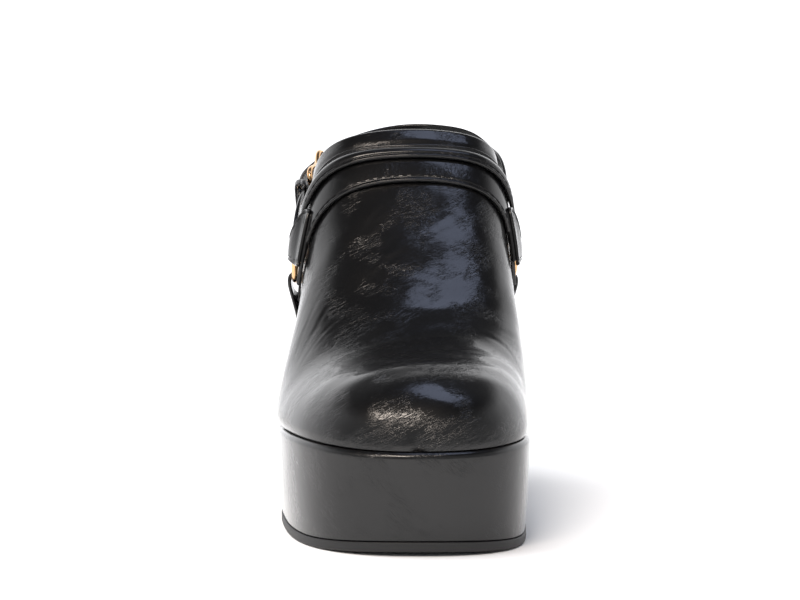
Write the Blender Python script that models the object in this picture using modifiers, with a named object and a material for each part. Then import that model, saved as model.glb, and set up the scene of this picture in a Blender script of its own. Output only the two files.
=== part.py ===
"""Right shoe of a pair: a platform mule with a closed toe, an open back and a ring harness.

Metres, +Z up. The toe points to -Y, the medial side is +X. The origin lies on the floor
under the ball of the foot. Every piece is worked out from the driving sizes below and from
short tables, whose columns are shares of those sizes.
"""
import bmesh
import bpy
import numpy as np
from mathutils import Matrix

# Driving sizes of the last and the sole
LENGTH = 0.240
BALL_WIDTH = 0.104
HEEL_HEIGHT = 0.0955
PLATFORM_HEIGHT = 0.038
INSTEP_HEIGHT = 0.100
BALL_SHARE = 88 / 240
TOE_SPRING = 0.002
OUTSOLE_THICKNESS = 0.004
SEAT_THICKNESS = 0.0145
LIFT_THICKNESS = 0.006
INSOLE_THICKNESS = 0.0025
PLATFORM_EDGE = 0.0025
PLATFORM_DRAFT = 0.0018
HEEL_BREAST_SHARE = 0.70
HEEL_TAPER = 0.17
HEEL_RAKE = 0.006
LIFT_INSET = 0.0006
LIFT_EDGE = 0.00075
INSOLE_EDGE = 0.0008
INSOLE_FREE_SHARE = 0.012
INSOLE_SPREAD_SHARE = 0.06

# Driving sizes of the upper and the harness
GAP = 0.0003
WALL = 0.002
FEATHER = 0.0016
FEATHER_LIFT = 0.00045
BAND_THICKNESS = 0.0017
STRAP_THICKNESS = 0.0014
STRAP_WIDTH = 0.0165
LOOP_WIDTH = 0.010
STRAP_HEIGHT = 0.0528
RING_RADIUS = 0.0126
RING_WIRE = 0.0013
RING_SHARE = 152 / 240
RING_ANGLE = 17.0
TAB_LENGTH = 0.015
TAB_WIDTH = 0.026
TAB_RISE = 0.0055
TAB_SHOULDER = 0.7
TAB_FLARE = {"lateral": 0.0014, "medial": -0.0022}
TAB_TILT = {"lateral": 0.0, "medial": 0.09}
LEG_LENGTH = 0.0038
STAY_WIDTH = 0.013
BUCKLE_LENGTH = 0.029
BUCKLE_WIRE = 0.0011
BUCKLE_PLACE = 0.037
KEEPER_WIDTH = 0.006
TIP_LENGTH = 0.016
TIP_EDGE = 0.001
TIP_NARROWING = 0.6
STRAP_START = 0.002
STRAP_STEP = 0.0043
RING_LEAD = 0.006
NARROW_LENGTH = 0.003
WIDEN_LENGTH = 0.016
TWIST_LENGTH = 0.024
BAR_TAPER_START = 0.010
BAR_TAPER_LENGTH = 0.007

# Directions on a ring in degrees: 0 points to the back, 90 up
TAB_TURN = 172.0
HEEL_STRAP_TURN = 40.0
STAY_TURN = -90.0
STAY_ANGLES = (6.0, 3.6, 1.3)
EDGE_TURNS = (0, 30, 60, 90)
SHARP_ANGLE = 40.0


def table(columns, *rows):
    """Column name to the array of its values."""
    return dict(zip(columns.split(), np.array(rows, float).T))


# Outline of the footbed: half widths as shares of half the ball width
OUTLINE = table(
    "share lateral medial middle",
    (0.00, 1.010, 1.060, 0.105),
    (0.06, 1.010, 1.030, 0.092),
    (0.15, 0.995, 0.968, 0.065),
    (0.28, 0.988, 0.955, 0.020),
    (0.375, 1.000, 0.972, 0.000),
    (0.48, 0.945, 0.880, 0.000),
    (0.58, 0.850, 0.745, 0.000),
    (0.68, 0.755, 0.670, 0.000),
    (0.78, 0.690, 0.655, 0.000),
    (0.88, 0.660, 0.660, 0.000),
    (1.00, 0.640, 0.650, 0.000),
)
TOE_REACH, TOE_ROUND = 0.3125, 2.5
BACK_REACH, BACK_ROUND = 0.13, 2.2
CUT_REACH, CUT_ROUND = 0.06, 6.0

# Footbed height: share of the rise from the platform under the ball to the heel
FOOTBED = table(
    "share rise",
    (0.00, 0.045), (0.06, 0.063), (0.125, 0.070), (0.20, 0.063), (0.29, 0.036), (0.375, 0.018),
    (0.46, 0.079), (0.54, 0.228),
    (0.625, 0.447), (0.71, 0.684), (0.79, 0.860), (0.875, 0.956), (1.00, 1.000),
)

# Underside of the platform: share of the rise from the outsole to the heel seat
UNDERSIDE = table(
    "share lift",
    (0.00, 0.00), (0.44, 0.00), (0.50, 0.05), (0.56, 0.18), (0.62, 0.39),
    (0.68, 0.62), (0.74, 0.78), (0.82, 0.90), (1.00, 1.00),
)
SPRING_REACH = 0.12

# Upper: half widths and lean of the crown as shares of half the ball width, crown height
# as a share of the instep height, squareness of the section
SECTIONS = table(
    "share lateral medial crown lean square",
    (0.000, 1.000, 1.040, 0.310, 0.06, 0.020),
    (0.083, 0.995, 0.990, 0.298, 0.10, 0.020),
    (0.167, 0.985, 0.945, 0.306, 0.15, 0.020),
    (0.250, 1.000, 0.935, 0.350, 0.19, 0.025),
    (0.333, 1.015, 0.970, 0.464, 0.19, 0.030),
    (0.417, 0.990, 0.955, 0.664, 0.16, 0.045),
    (0.500, 0.910, 0.905, 0.847, 0.11, 0.060),
    (0.592, 0.860, 0.840, 1.000, 0.08, 0.078),
    (0.667, 0.825, 0.775, 1.060, 0.07, 0.080),
    (0.854, 0.720, 0.655, 1.120, 0.05, 0.080),
)
CAP_REACH, CAP_ROUND = 0.167, 2.15
TUCK_REACH = 0.14
COLLAR_CROWN, COLLAR_FOOT, COLLAR_SWEEP = 142 / 240, 205 / 240, 1.2
COLLAR_SQUARE = 0.08

# Bands: where each edge crosses the crown and where it ends at the side
BANDS = {
    "instep_band_lower": table("crown end angle", (0.5167, 0.542, 20.5), (0.5590, 0.584, 32.6)),
    "instep_band_upper": table("crown end angle", (0.5540, 0.578, 31.0), (0.5790, 0.600, 38.5)),
}
BAND_SWEEP = 2.0
OVERLAP = (0.36, 0.80)

# Back strap from each ring to the back: width share, length share, share of the strap height
BACK_PATH = {
    "lateral": table(
        "share out high",
        (0.742, 0.860, 0.485), (0.825, 0.812, 0.630), (0.892, 0.700, 0.742),
        (0.938, 0.567, 0.843), (0.971, 0.327, 0.937),
    ),
    "medial": table(
        "share out high",
        (0.742, 0.850, 0.530), (0.833, 0.785, 0.785), (0.900, 0.685, 0.862),
        (0.942, 0.545, 0.953), (0.971, 0.327, 0.997),
    ),
}
BACK_SHARE = 0.9865

# Mesh density and the roundness of corners
GRID_UPPER = (27, 30)
GRID_BAND = (39, 6)
ROW_CROWDING = 0.3
RING_SEGMENTS = (24, 6)
FOLD_STEPS = 6
STRAP_POINTS = 10
BUCKLE_POINTS, BUCKLE_CORNER = 40, 0.28
PRONG_POINTS = 9
KEEPER_POINTS, KEEPER_CORNER = 24, 0.2
STATIONS = np.linspace(0, 1, 41)
END_REACH = 0.05
END_POINTS = 7


def natural(x, xs, ys):
    """Natural cubic spline through the knots, read at x; ys may hold points."""
    ys = np.asarray(ys, float)
    flat = ys.reshape(len(xs), -1)
    gaps = np.diff(xs)
    matrix = np.eye(len(xs))
    right = np.zeros_like(flat)
    slopes = np.diff(flat, axis=0) / gaps[:, None]
    for i in range(1, len(xs) - 1):
        matrix[i, i - 1:i + 2] = gaps[i - 1], 2 * (gaps[i - 1] + gaps[i]), gaps[i]
        right[i] = 6 * (slopes[i] - slopes[i - 1])
    bend = np.linalg.solve(matrix, right)
    x = np.clip(np.asarray(x, float), xs[0], xs[-1])
    i = np.clip(np.searchsorted(xs, x) - 1, 0, len(xs) - 2)
    h = gaps[i][..., None]
    a = (np.asarray(xs)[i + 1] - x)[..., None] / h
    b = 1 - a
    curve = (a ** 3 - a) * bend[i] + (b ** 3 - b) * bend[i + 1]
    value = a * flat[i] + b * flat[i + 1] + curve * h * h / 6
    return value.reshape(x.shape + ys.shape[1:])


def steady(x, xs, ys):
    """Cubic through the knots that stays between neighbours, so a flat stretch stays flat."""
    gaps = np.diff(xs)
    slopes = np.diff(ys) / gaps
    tangent = np.zeros(len(xs))
    rising = slopes[:-1] * slopes[1:] > 0
    safe = np.where(rising, slopes[:-1] * slopes[1:], 1)
    tangent[1:-1] = np.where(rising, 2 * safe / np.where(rising, slopes[:-1] + slopes[1:], 1), 0)
    x = np.clip(x, xs[0], xs[-1])
    i = np.clip(np.searchsorted(xs, x) - 1, 0, len(xs) - 2)
    t = (x - xs[i]) / gaps[i]
    rise = ys[i + 1] - ys[i]
    start = t * (1 - t) ** 2 * gaps[i] * tangent[i]
    stop = t * t * (t - 1) * gaps[i] * tangent[i + 1]
    return ys[i] + rise * t * t * (3 - 2 * t) + start + stop


def round_end(t, power):
    """0 at t = 0, 1 from t = 1 on, along a quarter of a superellipse."""
    return (1 - (1 - np.clip(t, 0, 1)) ** power) ** (1 / power)


def ease(t):
    """Smooth step from 0 to 1."""
    t = np.clip(t, 0, 1)
    return t * t * (3 - 2 * t)


def station(share):
    """Y of a share of the length."""
    return (share - BALL_SHARE) * LENGTH


def footbed(share):
    """Height of the platform's top."""
    return PLATFORM_HEIGHT + (HEEL_HEIGHT - PLATFORM_HEIGHT) * natural(
        share, FOOTBED["share"], FOOTBED["rise"])


def underside(share):
    """Height of the platform's underside."""
    seat = HEEL_HEIGHT - SEAT_THICKNESS - OUTSOLE_THICKNESS
    spring = TOE_SPRING * np.clip(1 - share / SPRING_REACH, 0, 1) ** 2
    return OUTSOLE_THICKNESS + seat * steady(share, UNDERSIDE["share"], UNDERSIDE["lift"]) + spring


def unit(v):
    """Vectors of length 1."""
    return v / np.linalg.norm(v, axis=-1, keepdims=True)


def material(name, color, roughness, metallic=0.0, coat=0.0):
    """A Principled material of one colour."""
    made = bpy.data.materials.get(name) or bpy.data.materials.new(name)
    made.use_nodes = True
    shader = made.node_tree.nodes["Principled BSDF"]
    shader.inputs["Base Color"].default_value = (*color, 1)
    shader.inputs["Roughness"].default_value = roughness
    shader.inputs["Metallic"].default_value = metallic
    shader.inputs["Coat Weight"].default_value = coat
    made.diffuse_color = (*color, 1)
    return made


def finish(name, bm, look):
    """An object in the part's collection from a bmesh."""
    bmesh.ops.recalc_face_normals(bm, faces=bm.faces)
    mesh = bpy.data.meshes.new(name)
    bm.to_mesh(mesh)
    bm.free()
    mesh.shade_smooth()
    mesh.set_sharp_from_angle(angle=np.radians(SHARP_ANGLE))
    made = bpy.data.objects.new(name, mesh)
    made.data.materials.append(look)
    PARTS.objects.link(made)
    return made


def grid_mesh(points, closed=False):
    """A bmesh of quads over an array of rows of points, joined end to end if closed."""
    bm = bmesh.new()
    rows = [[bm.verts.new(p) for p in row] for row in points]
    pairs = list(zip(rows, rows[1:])) + ([(rows[-1], rows[0])] if closed else [])
    for low, high in pairs:
        for a, b, c, d in zip(low, low[1:], high[1:], high):
            bm.faces.new((a, b, c, d))
    return bm


def solidify(made, thickness, offset):
    """Gives an open surface its wall."""
    wall = made.modifiers.new("wall", "SOLIDIFY")
    wall.thickness = thickness
    wall.offset = offset
    wall.use_even_offset = True
    return made


# Sole

def half_width(share, column, start=0.0, stop=1.0):
    """Half width of the footbed on one side, between a toe end and a back end."""
    toe = TOE_REACH, TOE_ROUND
    back = BACK_REACH, BACK_ROUND
    front_reach, front_round = toe if start == 0 else (CUT_REACH, CUT_ROUND)
    back_reach, back_round = back if stop == 1 else (CUT_REACH, CUT_ROUND)
    ends = round_end((share - start) / front_reach, front_round)
    ends = ends * round_end((stop - share) / back_reach, back_round)
    return BALL_WIDTH / 2 * natural(share, OUTLINE["share"], OUTLINE[column]) * ends


def middle(share):
    """X of the middle of the outline: the toe leans to the medial side."""
    return BALL_WIDTH / 2 * natural(share, OUTLINE["share"], OUTLINE["middle"])


def plan_shares(start, stop):
    """Shares of the length along a side: the common stations, closer together at both ends."""
    near = END_REACH * (1 - np.cos(np.linspace(0, np.pi / 2, END_POINTS)))
    inner = STATIONS[(STATIONS > start + END_REACH * 1.02) & (STATIONS < stop - END_REACH * 1.02)]
    return np.concatenate([start + near, inner, (stop - near)[::-1]])


def on_facets(surface, share):
    """A height function read between the common stations, so that stacked pieces fit."""
    return np.interp(share, STATIONS, surface(STATIONS))


def plan_ring(inset, start=0.0, stop=1.0):
    """Plan outline as a ring: toe end, medial side, back end, lateral side; inset inwards."""
    share = plan_shares(start, stop)
    medial = np.stack([middle(share) + half_width(share, "medial", start, stop), station(share)], -1)
    lateral = np.stack([middle(share) - half_width(share, "lateral", start, stop), station(share)], -1)
    ring = np.concatenate([medial, lateral[-2:0:-1]])
    along = unit(np.roll(ring, -1, 0) - np.roll(ring, 1, 0))
    outward = np.stack([along[:, 1], -along[:, 0]], -1)
    return ring - outward * inset


def stack(name, levels, look):
    """A closed solid through plan rings; each level is (ring, its heights)."""
    bm = bmesh.new()
    rings = []
    for ring, height in levels:
        rings.append([bm.verts.new((x, y, z)) for (x, y), z in zip(ring, height)])
    count = len(rings[0])
    for low, high in zip(rings, rings[1:]):
        for i in range(count):
            j = (i + 1) % count
            bm.faces.new((low[i], low[j], high[j], high[i]))
    for ring in (rings[0], rings[-1]):
        for i in range(count // 2):
            corners = [ring[i], ring[-i % count], ring[-(i + 1) % count], ring[i + 1]]
            bm.faces.new(dict.fromkeys(corners))
    return finish(name, bm, look)


def share_of(ring):
    """Share of the length at each point of a ring."""
    return ring[:, 1] / LENGTH + BALL_SHARE


def level(inset, surface, offset, start=0.0, stop=1.0):
    """One level of a stack: the outline inset, on a height function plus an offset."""
    ring = plan_ring(inset, start, stop)
    return ring, on_facets(surface, share_of(ring)) + offset


def build_platform(look):
    """Wrapped midsole with a slight draft and a rounded top edge."""
    levels = [level(PLATFORM_DRAFT + GAP, underside, 0), level(PLATFORM_DRAFT - GAP, underside, 2 * GAP)]
    for turn in np.radians(EDGE_TURNS):
        inset = PLATFORM_EDGE * (1 - np.cos(turn))
        levels.append(level(inset, footbed, -PLATFORM_EDGE * (1 - np.sin(turn))))
    stack("platform", levels, look)


def build_outsole(look):
    """Sheet of even thickness under the platform, ending at the heel."""
    stop = HEEL_BREAST_SHARE - 4 * GAP / LENGTH
    bottom = -OUTSOLE_THICKNESS
    edge = OUTSOLE_THICKNESS / 5
    levels = [
        level(PLATFORM_DRAFT + edge, underside, bottom, 0, stop),
        level(PLATFORM_DRAFT, underside, bottom + edge, 0, stop),
        level(PLATFORM_DRAFT, underside, -GAP, 0, stop),
    ]
    stack("outsole", levels, look)


def heel_ring(drop, inset):
    """Heel outline at a share of the way down from the seat to the floor."""
    ring = plan_ring(PLATFORM_DRAFT + inset, HEEL_BREAST_SHARE, 1.0)
    pivot = station((HEEL_BREAST_SHARE + 1) / 2)
    narrow = 1 - HEEL_TAPER * drop
    return np.stack([ring[:, 0] * narrow, pivot + (ring[:, 1] - pivot) * narrow - HEEL_RAKE * drop], -1)


def build_heel(look, rubber):
    """Wrapped block from the seat down to its rubber lift."""
    top_ring = heel_ring(0, 0)
    top = on_facets(underside, share_of(top_ring)) - GAP
    levels = []
    for drop in np.linspace(1, 0, 4):
        ring = heel_ring(drop, 0)
        levels.append((ring, LIFT_THICKNESS + GAP + (top - LIFT_THICKNESS - GAP) * (1 - drop)))
    stack("heel", levels, look)
    flat = np.ones(len(top))
    levels = [(heel_ring(1, LIFT_INSET + edge), flat * z)
              for edge, z in ((LIFT_EDGE, 0), (0, LIFT_EDGE), (0, LIFT_THICKNESS))]
    stack("heel_top_piece", levels, rubber)


def build_insole(look):
    """Sock board inside the feather edge, out to the edge behind the upper."""
    inner = FEATHER + WALL + 3 * GAP
    ring = plan_ring(inner)
    wide = plan_ring(FEATHER / 2 + PLATFORM_EDGE / 2)
    free = ease((share_of(ring) - COLLAR_FOOT - INSOLE_FREE_SHARE) / INSOLE_SPREAD_SHARE)[:, None]
    ring = ring + (wide - ring) * free
    levels = []
    centre = np.array([0, station(0.5)])
    shoulder = INSOLE_THICKNESS * 0.6
    for inset, high in ((0, 0), (0, shoulder), (INSOLE_EDGE, INSOLE_THICKNESS)):
        shrunk = centre + (ring - centre) * (1 - 2 * inset / BALL_WIDTH)
        levels.append((shrunk, on_facets(footbed, share_of(shrunk)) + GAP + high))
    stack("insole", levels, look)


# Upper

def section(angle, square):
    """Rounded section: a circle squared by its third harmonic; 0 is the medial feather edge."""
    across = (np.cos(angle) - square * np.cos(3 * angle)) / (1 - square)
    up = (np.sin(angle) + square * np.sin(3 * angle)) / (1 - square)
    return across, up


def upper_point(share, angle):
    """Point of the upper's outer surface at a share of the length and an angle of the section."""
    share, angle = np.broadcast_arrays(np.asarray(share, float), np.asarray(angle, float))
    row = {name: natural(share, SECTIONS["share"], SECTIONS[name]) for name in SECTIONS}
    half = BALL_WIDTH / 2
    across, up = section(angle, row["square"])
    narrow = 1 - FEATHER / half
    toe = round_end(share / TOE_REACH, TOE_ROUND)
    feather = {side: half_width(share, side) * narrow for side in ("lateral", "medial")}
    swell = 1 - (1 - np.clip(up / TUCK_REACH, 0, 1)) ** 2
    width = {side: feather[side] + (half * row[side] * toe - feather[side]) * swell for side in feather}
    mean = (width["medial"] + width["lateral"]) / 2
    odd = (width["medial"] - width["lateral"]) / 2
    x = middle(share) + across * mean + across * across * odd + half * row["lean"] * up * up * toe
    set_back = FEATHER * np.clip(1 - share / TOE_REACH, 0, 1)
    cap = round_end(share / CAP_REACH, CAP_ROUND)
    z = footbed(share) + FEATHER_LIFT + INSTEP_HEIGHT * row["crown"] * cap * up
    return np.stack([x, station(share) + set_back, z], -1)


def upper_normal(share, angle):
    """Outward direction of the upper's surface, by central differences."""
    step = 1e-4
    along = upper_point(share + step, angle) - upper_point(share - step, angle)
    turn = upper_point(share, angle + step) - upper_point(share, angle - step)
    return unit(np.cross(along, turn))


def on_upper(share, angle, stand):
    """Point at a height over the upper's surface."""
    return upper_point(share, angle) + upper_normal(share, angle) * np.asarray(stand)[..., None]


def collar(angle):
    """Share of the length where the upper ends: furthest forward at the crown."""
    up = section(angle, COLLAR_SQUARE)[1]
    return COLLAR_CROWN + (COLLAR_FOOT - COLLAR_CROWN) * np.clip(1 - up, 0, 1) ** COLLAR_SWEEP


def build_upper(look):
    """Open lasted surface from the toe point to the collar, with its wall inside."""
    rows, columns = GRID_UPPER
    v = np.linspace(0, 1, rows)[1:, None]
    v = v * v / (v + ROW_CROWDING * (1 - v))
    angle = np.linspace(0, np.pi, columns)[None, :]
    points = upper_point(v * collar(angle), angle)
    bm = bmesh.new()
    tip = bm.verts.new(upper_point(0.0, 0.0))
    grid = [[bm.verts.new(p) for p in row] for row in points]
    for a, b in zip(grid[0], grid[0][1:]):
        bm.faces.new((tip, a, b))
    for low, high in zip(grid, grid[1:]):
        for a, b, c, d in zip(low, low[1:], high[1:], high):
            bm.faces.new((a, d, c, b))
    made = finish("upper", bm, look)
    flip_outward(made)
    return solidify(made, WALL, -1)


def flip_outward(made):
    """Turns an open surface so that its faces look away from its middle."""
    mesh = made.data
    middle_point = sum((v.co for v in mesh.vertices), start=mesh.vertices[0].co * 0) / len(mesh.vertices)
    balance = sum(p.normal.dot(p.center - middle_point) * p.area for p in mesh.polygons)
    if balance < 0:
        mesh.flip_normals()


# Harness

def build_bands(look):
    """Two bands over the instep, offset from the upper; the upper one steps over the lower."""
    turn = np.linspace(-1, 1, GRID_BAND[0])[:, None]
    across = np.linspace(0, 1, GRID_BAND[1])[None, :]
    reach = np.abs(turn)
    for name, edges in BANDS.items():
        share_edges = [edges["crown"][i] + (edges["end"][i] - edges["crown"][i]) * reach ** BAND_SWEEP
                       for i in (0, 1)]
        angle_edges = [np.radians(90 - (90 - edges["angle"][i]) * turn) for i in (0, 1)]
        share = share_edges[0] + (share_edges[1] - share_edges[0]) * across
        angle = angle_edges[0] + (angle_edges[1] - angle_edges[0]) * across
        stand = np.full(share.shape, GAP + BAND_THICKNESS / 2)
        if name == "instep_band_upper":
            lift = 1 - ease((across - OVERLAP[0]) / (OVERLAP[1] - OVERLAP[0]))
            stand = stand + (2 * GAP + BAND_THICKNESS) * lift
        made = finish(name, grid_mesh(on_upper(share, angle, stand)), look)
        solidify(made, BAND_THICKNESS, 0)


def ring_frame(side):
    """Centre and the back, up and outward directions of a ring; side is 1 medial, -1 lateral."""
    angle = np.radians(RING_ANGLE if side > 0 else 180 - RING_ANGLE)
    out = upper_normal(RING_SHARE, angle)
    back = unit(np.array([0, 1.0, 0]) - out * out[1])
    up = np.cross(out, back)
    up = up * np.sign(up[2])
    fold = RING_WIRE + GAP + STRAP_THICKNESS / 2
    stand = GAP + STRAP_THICKNESS / 2 + fold
    return upper_point(RING_SHARE, angle) + out * stand, back, up, out, fold


def ring_rows(side, turn, reach, height, wide, shift=0.0, tilt=0.0):
    """Rows of strap points near a ring.

    reach is the distance from the ring's centre along the strap, height the distance
    from the ring's plane, wide the half width, shift the sideways shift and tilt the
    sideways slope of each row.
    The rows follow the ring's curve near its wire.
    """
    centre, back, up, out, _ = ring_frame(side)
    turn = np.radians(turn)
    along = back * np.cos(turn) + up * np.sin(turn)
    across = up * np.cos(turn) - back * np.sin(turn)
    across = across if across[2] > 0 or abs(across[2]) < 1e-6 else -across
    reach, height, wide = (np.asarray(v, float)[:, None] for v in np.broadcast_arrays(reach, height, wide))
    offset = wide * np.linspace(-1, 1, 5)[None, :] + np.asarray(shift, float).reshape(-1, 1)
    near = np.clip(1 - (reach - RING_RADIUS) / (1.2 * LEG_LENGTH), 0, 1)
    bow = RING_RADIUS - np.sqrt(RING_RADIUS ** 2 - np.clip(offset, -LOOP_WIDTH / 2, LOOP_WIDTH / 2) ** 2)
    reach = reach - bow * near
    height = height + offset * np.asarray(tilt, float).reshape(-1, 1)
    return (centre + along * reach[..., None] + out * height[..., None] + across * offset[..., None])


def ring_fold(side, turn):
    """Rows of a strap end that passes round the ring's wire: inner leg, then the turn."""
    fold = ring_frame(side)[4]
    bend = np.radians(np.linspace(-90, -270, FOLD_STEPS + 1))
    reach = np.concatenate([[RING_RADIUS + LEG_LENGTH], RING_RADIUS + fold * np.cos(bend)])
    height = np.concatenate([[-fold], fold * np.sin(bend)])
    return ring_rows(side, turn, reach, height, LOOP_WIDTH / 2)


def side_name(side):
    """Which side of the foot."""
    return "medial" if side > 0 else "lateral"


def build_rings(look):
    """Round wire rings, one on each side."""
    for side in (-1, 1):
        centre, back, up, out, _ = ring_frame(side)
        bpy.ops.mesh.primitive_torus_add(
            major_radius=RING_RADIUS, minor_radius=RING_WIRE, major_segments=RING_SEGMENTS[0],
            minor_segments=RING_SEGMENTS[1])
        made = bpy.context.object
        made.name = made.data.name = "ring_" + side_name(side)
        made.data.shade_smooth()
        made.data.materials.append(look)
        turn = Matrix(np.stack([back, np.cross(out, back), out], 1).tolist()).to_4x4()
        made.matrix_world = Matrix.Translation(centre.tolist()) @ turn
        for group in made.users_collection:
            group.objects.unlink(made)
        PARTS.objects.link(made)


def build_ring_tabs(look):
    """Leather tabs from over the ends of the bands back to the rings."""
    for side in (-1, 1):
        fold = ring_frame(side)[4]
        grow = np.linspace(0, 1, 7)[1:]
        open_out = ease(grow / TAB_SHOULDER)
        half = (LOOP_WIDTH + (TAB_WIDTH - LOOP_WIDTH) * open_out) / 2
        height = fold + TAB_FLARE[side_name(side)] * grow
        tilt = TAB_TILT[side_name(side)] * grow
        reach = RING_RADIUS + TAB_LENGTH * grow
        leg = ring_rows(side, TAB_TURN, reach, height, half, TAB_RISE * open_out, tilt)
        points = np.concatenate([ring_fold(side, TAB_TURN), leg])
        made = finish("ring_tab_" + side_name(side), grid_mesh(points), look)
        solidify(made, STRAP_THICKNESS, 0)


def build_stay_straps(look):
    """Short straps from the rings down the side of the upper to its feather edge."""
    for side in (-1, 1):
        fold = ring_frame(side)[4]
        rows = [ring_rows(side, STAY_TURN, [RING_RADIUS + r], fold * h, LOOP_WIDTH / 2)[0]
                for r, h in ((0.5 * LEG_LENGTH, 1.0), (LEG_LENGTH, 0.8))]
        stand = GAP + STRAP_THICKNESS / 2
        for degrees in STAY_ANGLES:
            angle = np.radians(degrees if side > 0 else 180 - degrees)
            spread = np.linspace(-1, 1, 5) * STAY_WIDTH / 2 / LENGTH
            along = np.sign((rows[0][-1] - rows[0][0])[1])
            rows.append(on_upper(RING_SHARE + spread * along, angle, np.full(5, stand)))
        points = np.concatenate([ring_fold(side, STAY_TURN), np.stack(rows)])
        made = finish("stay_strap_" + side_name(side), grid_mesh(points), look)
        solidify(made, STRAP_THICKNESS, 0)


def strap_path():
    """Knots of the strap round the back, from the lateral ring to the medial one."""
    knots = []
    for side in (-1, 1):
        centre, back, up, out, fold = ring_frame(side)
        turn = np.radians(HEEL_STRAP_TURN)
        along = back * np.cos(turn) + up * np.sin(turn)
        ring_points = [centre + along * (RING_RADIUS + r) + out * fold for r in (0, RING_LEAD)]
        way = BACK_PATH[side_name(side)]
        rows = zip(way["share"], way["out"], way["high"])
        back_points = [np.array([side * wide * BALL_WIDTH / 2, station(share),
                                 HEEL_HEIGHT + STRAP_HEIGHT * high]) for share, wide, high in rows]
        knots.append(ring_points + back_points)
    last = np.array([0, station(BACK_SHARE), HEEL_HEIGHT + STRAP_HEIGHT])
    points = np.array(knots[0] + [last] + knots[1][::-1])
    length = np.concatenate([[0], np.cumsum(np.linalg.norm(np.diff(points, axis=0), axis=1))])
    return length, points


def strap_rows(s, height, wide):
    """Rows across the back strap at distances s along it from the lateral ring.

    height is the distance outwards from the strap's own surface and wide the half width.
    """
    length, points = strap_path()
    s, height, wide = (np.asarray(v, float) for v in np.broadcast_arrays(s, height, wide))
    step = 1e-4
    centre = natural(s, length, points)
    along = unit(natural(s + step, length, points) - natural(s - step, length, points))
    hub = np.array([0, station(BACK_PATH["medial"]["share"][0]), 0])
    away = centre - hub
    away[:, 2] = 0
    away = unit(away)
    ends = [ring_frame(side)[3] for side in (-1, 1)]
    from_lateral = ease(1 - s / TWIST_LENGTH)[:, None]
    from_medial = ease(1 - (length[-1] - s) / TWIST_LENGTH)[:, None]
    away = away * (1 - from_lateral - from_medial) + ends[0] * from_lateral + ends[1] * from_medial
    out = unit(away - along * np.sum(away * along, -1, keepdims=True))
    across = unit(np.cross(out, along))
    across = across * np.sign(across[:, 2:3])
    offset = wide[:, None] * np.linspace(-1, 1, 5)[None, :]
    return centre[:, None] + out[:, None] * height[:, None, None] + across[:, None] * offset[..., None]


def strap_half(s):
    """Half width of the strap: narrow at a ring's wire."""
    near = np.minimum(s, strap_path()[0][-1] - s)
    return (LOOP_WIDTH + (STRAP_WIDTH - LOOP_WIDTH) * ease((near - NARROW_LENGTH) / WIDEN_LENGTH)) / 2


def build_back_straps(look):
    """Buckle strap from the lateral ring and heel strap from the medial ring."""
    total = strap_path()[0][-1]
    bar_fold = BUCKLE_WIRE + GAP + STRAP_THICKNESS / 2
    s = np.linspace(STRAP_START, BUCKLE_PLACE, STRAP_POINTS)
    bend = np.radians(np.linspace(60, -90, FOLD_STEPS))
    turn_s = np.concatenate([BUCKLE_PLACE + bar_fold * np.cos(bend), [BUCKLE_PLACE - LEG_LENGTH]])
    turn_h = np.concatenate([bar_fold * (np.sin(bend) - 1), [-2 * bar_fold]])
    s = np.concatenate([s, turn_s])
    height = np.concatenate([np.zeros(STRAP_POINTS), turn_h])
    taper = ease((s - BUCKLE_PLACE + BAR_TAPER_START) / BAR_TAPER_LENGTH)
    narrow = taper * (STRAP_WIDTH - LOOP_WIDTH) / 2
    at_bar = narrow[STRAP_POINTS - 1]
    half = strap_half(np.minimum(s, BUCKLE_PLACE)) - np.where(height < 0, at_bar, narrow)
    points = np.concatenate([ring_fold(-1, HEEL_STRAP_TURN), strap_rows(s, height, half)])
    solidify(finish("buckle_strap", grid_mesh(points), look), STRAP_THICKNESS, 0)

    start = BUCKLE_PLACE - TIP_LENGTH
    s = np.linspace(start, total - STRAP_START, int(total / STRAP_STEP))
    lift = 1 - ease((s - BUCKLE_PLACE - 2 * bar_fold) / (BUCKLE_LENGTH - 3 * bar_fold))
    height = (STRAP_THICKNESS + GAP) * lift
    half = strap_half(np.maximum(s, BUCKLE_PLACE))
    half = half * np.where(s < start + TIP_EDGE, TIP_NARROWING, 1)
    rows = strap_rows(s, height, half)
    points = np.concatenate([rows, ring_fold(1, HEEL_STRAP_TURN)[::-1]])
    solidify(finish("heel_strap", grid_mesh(points), look), STRAP_THICKNESS, 0)


def strap_point(s, height, across):
    """Points on the strap by distance along, height outwards and distance across."""
    rows = strap_rows(s, height, 1.0)
    centre = rows[:, 2]
    return centre + (rows[:, 4] - centre) * np.asarray(across)[:, None]


def wire(name, points, radius, cyclic, look):
    """A tube along points."""
    curve = bpy.data.curves.new(name, "CURVE")
    curve.dimensions = "3D"
    curve.bevel_depth = radius
    curve.bevel_resolution = 2
    curve.use_fill_caps = True
    spline = curve.splines.new("POLY")
    spline.points.add(len(points) - 1)
    spline.points.foreach_set("co", np.column_stack([points, np.ones(len(points))]).ravel())
    spline.use_cyclic_u = cyclic
    made = bpy.data.objects.new(name, curve)
    curve.materials.append(look)
    PARTS.objects.link(made)


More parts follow.
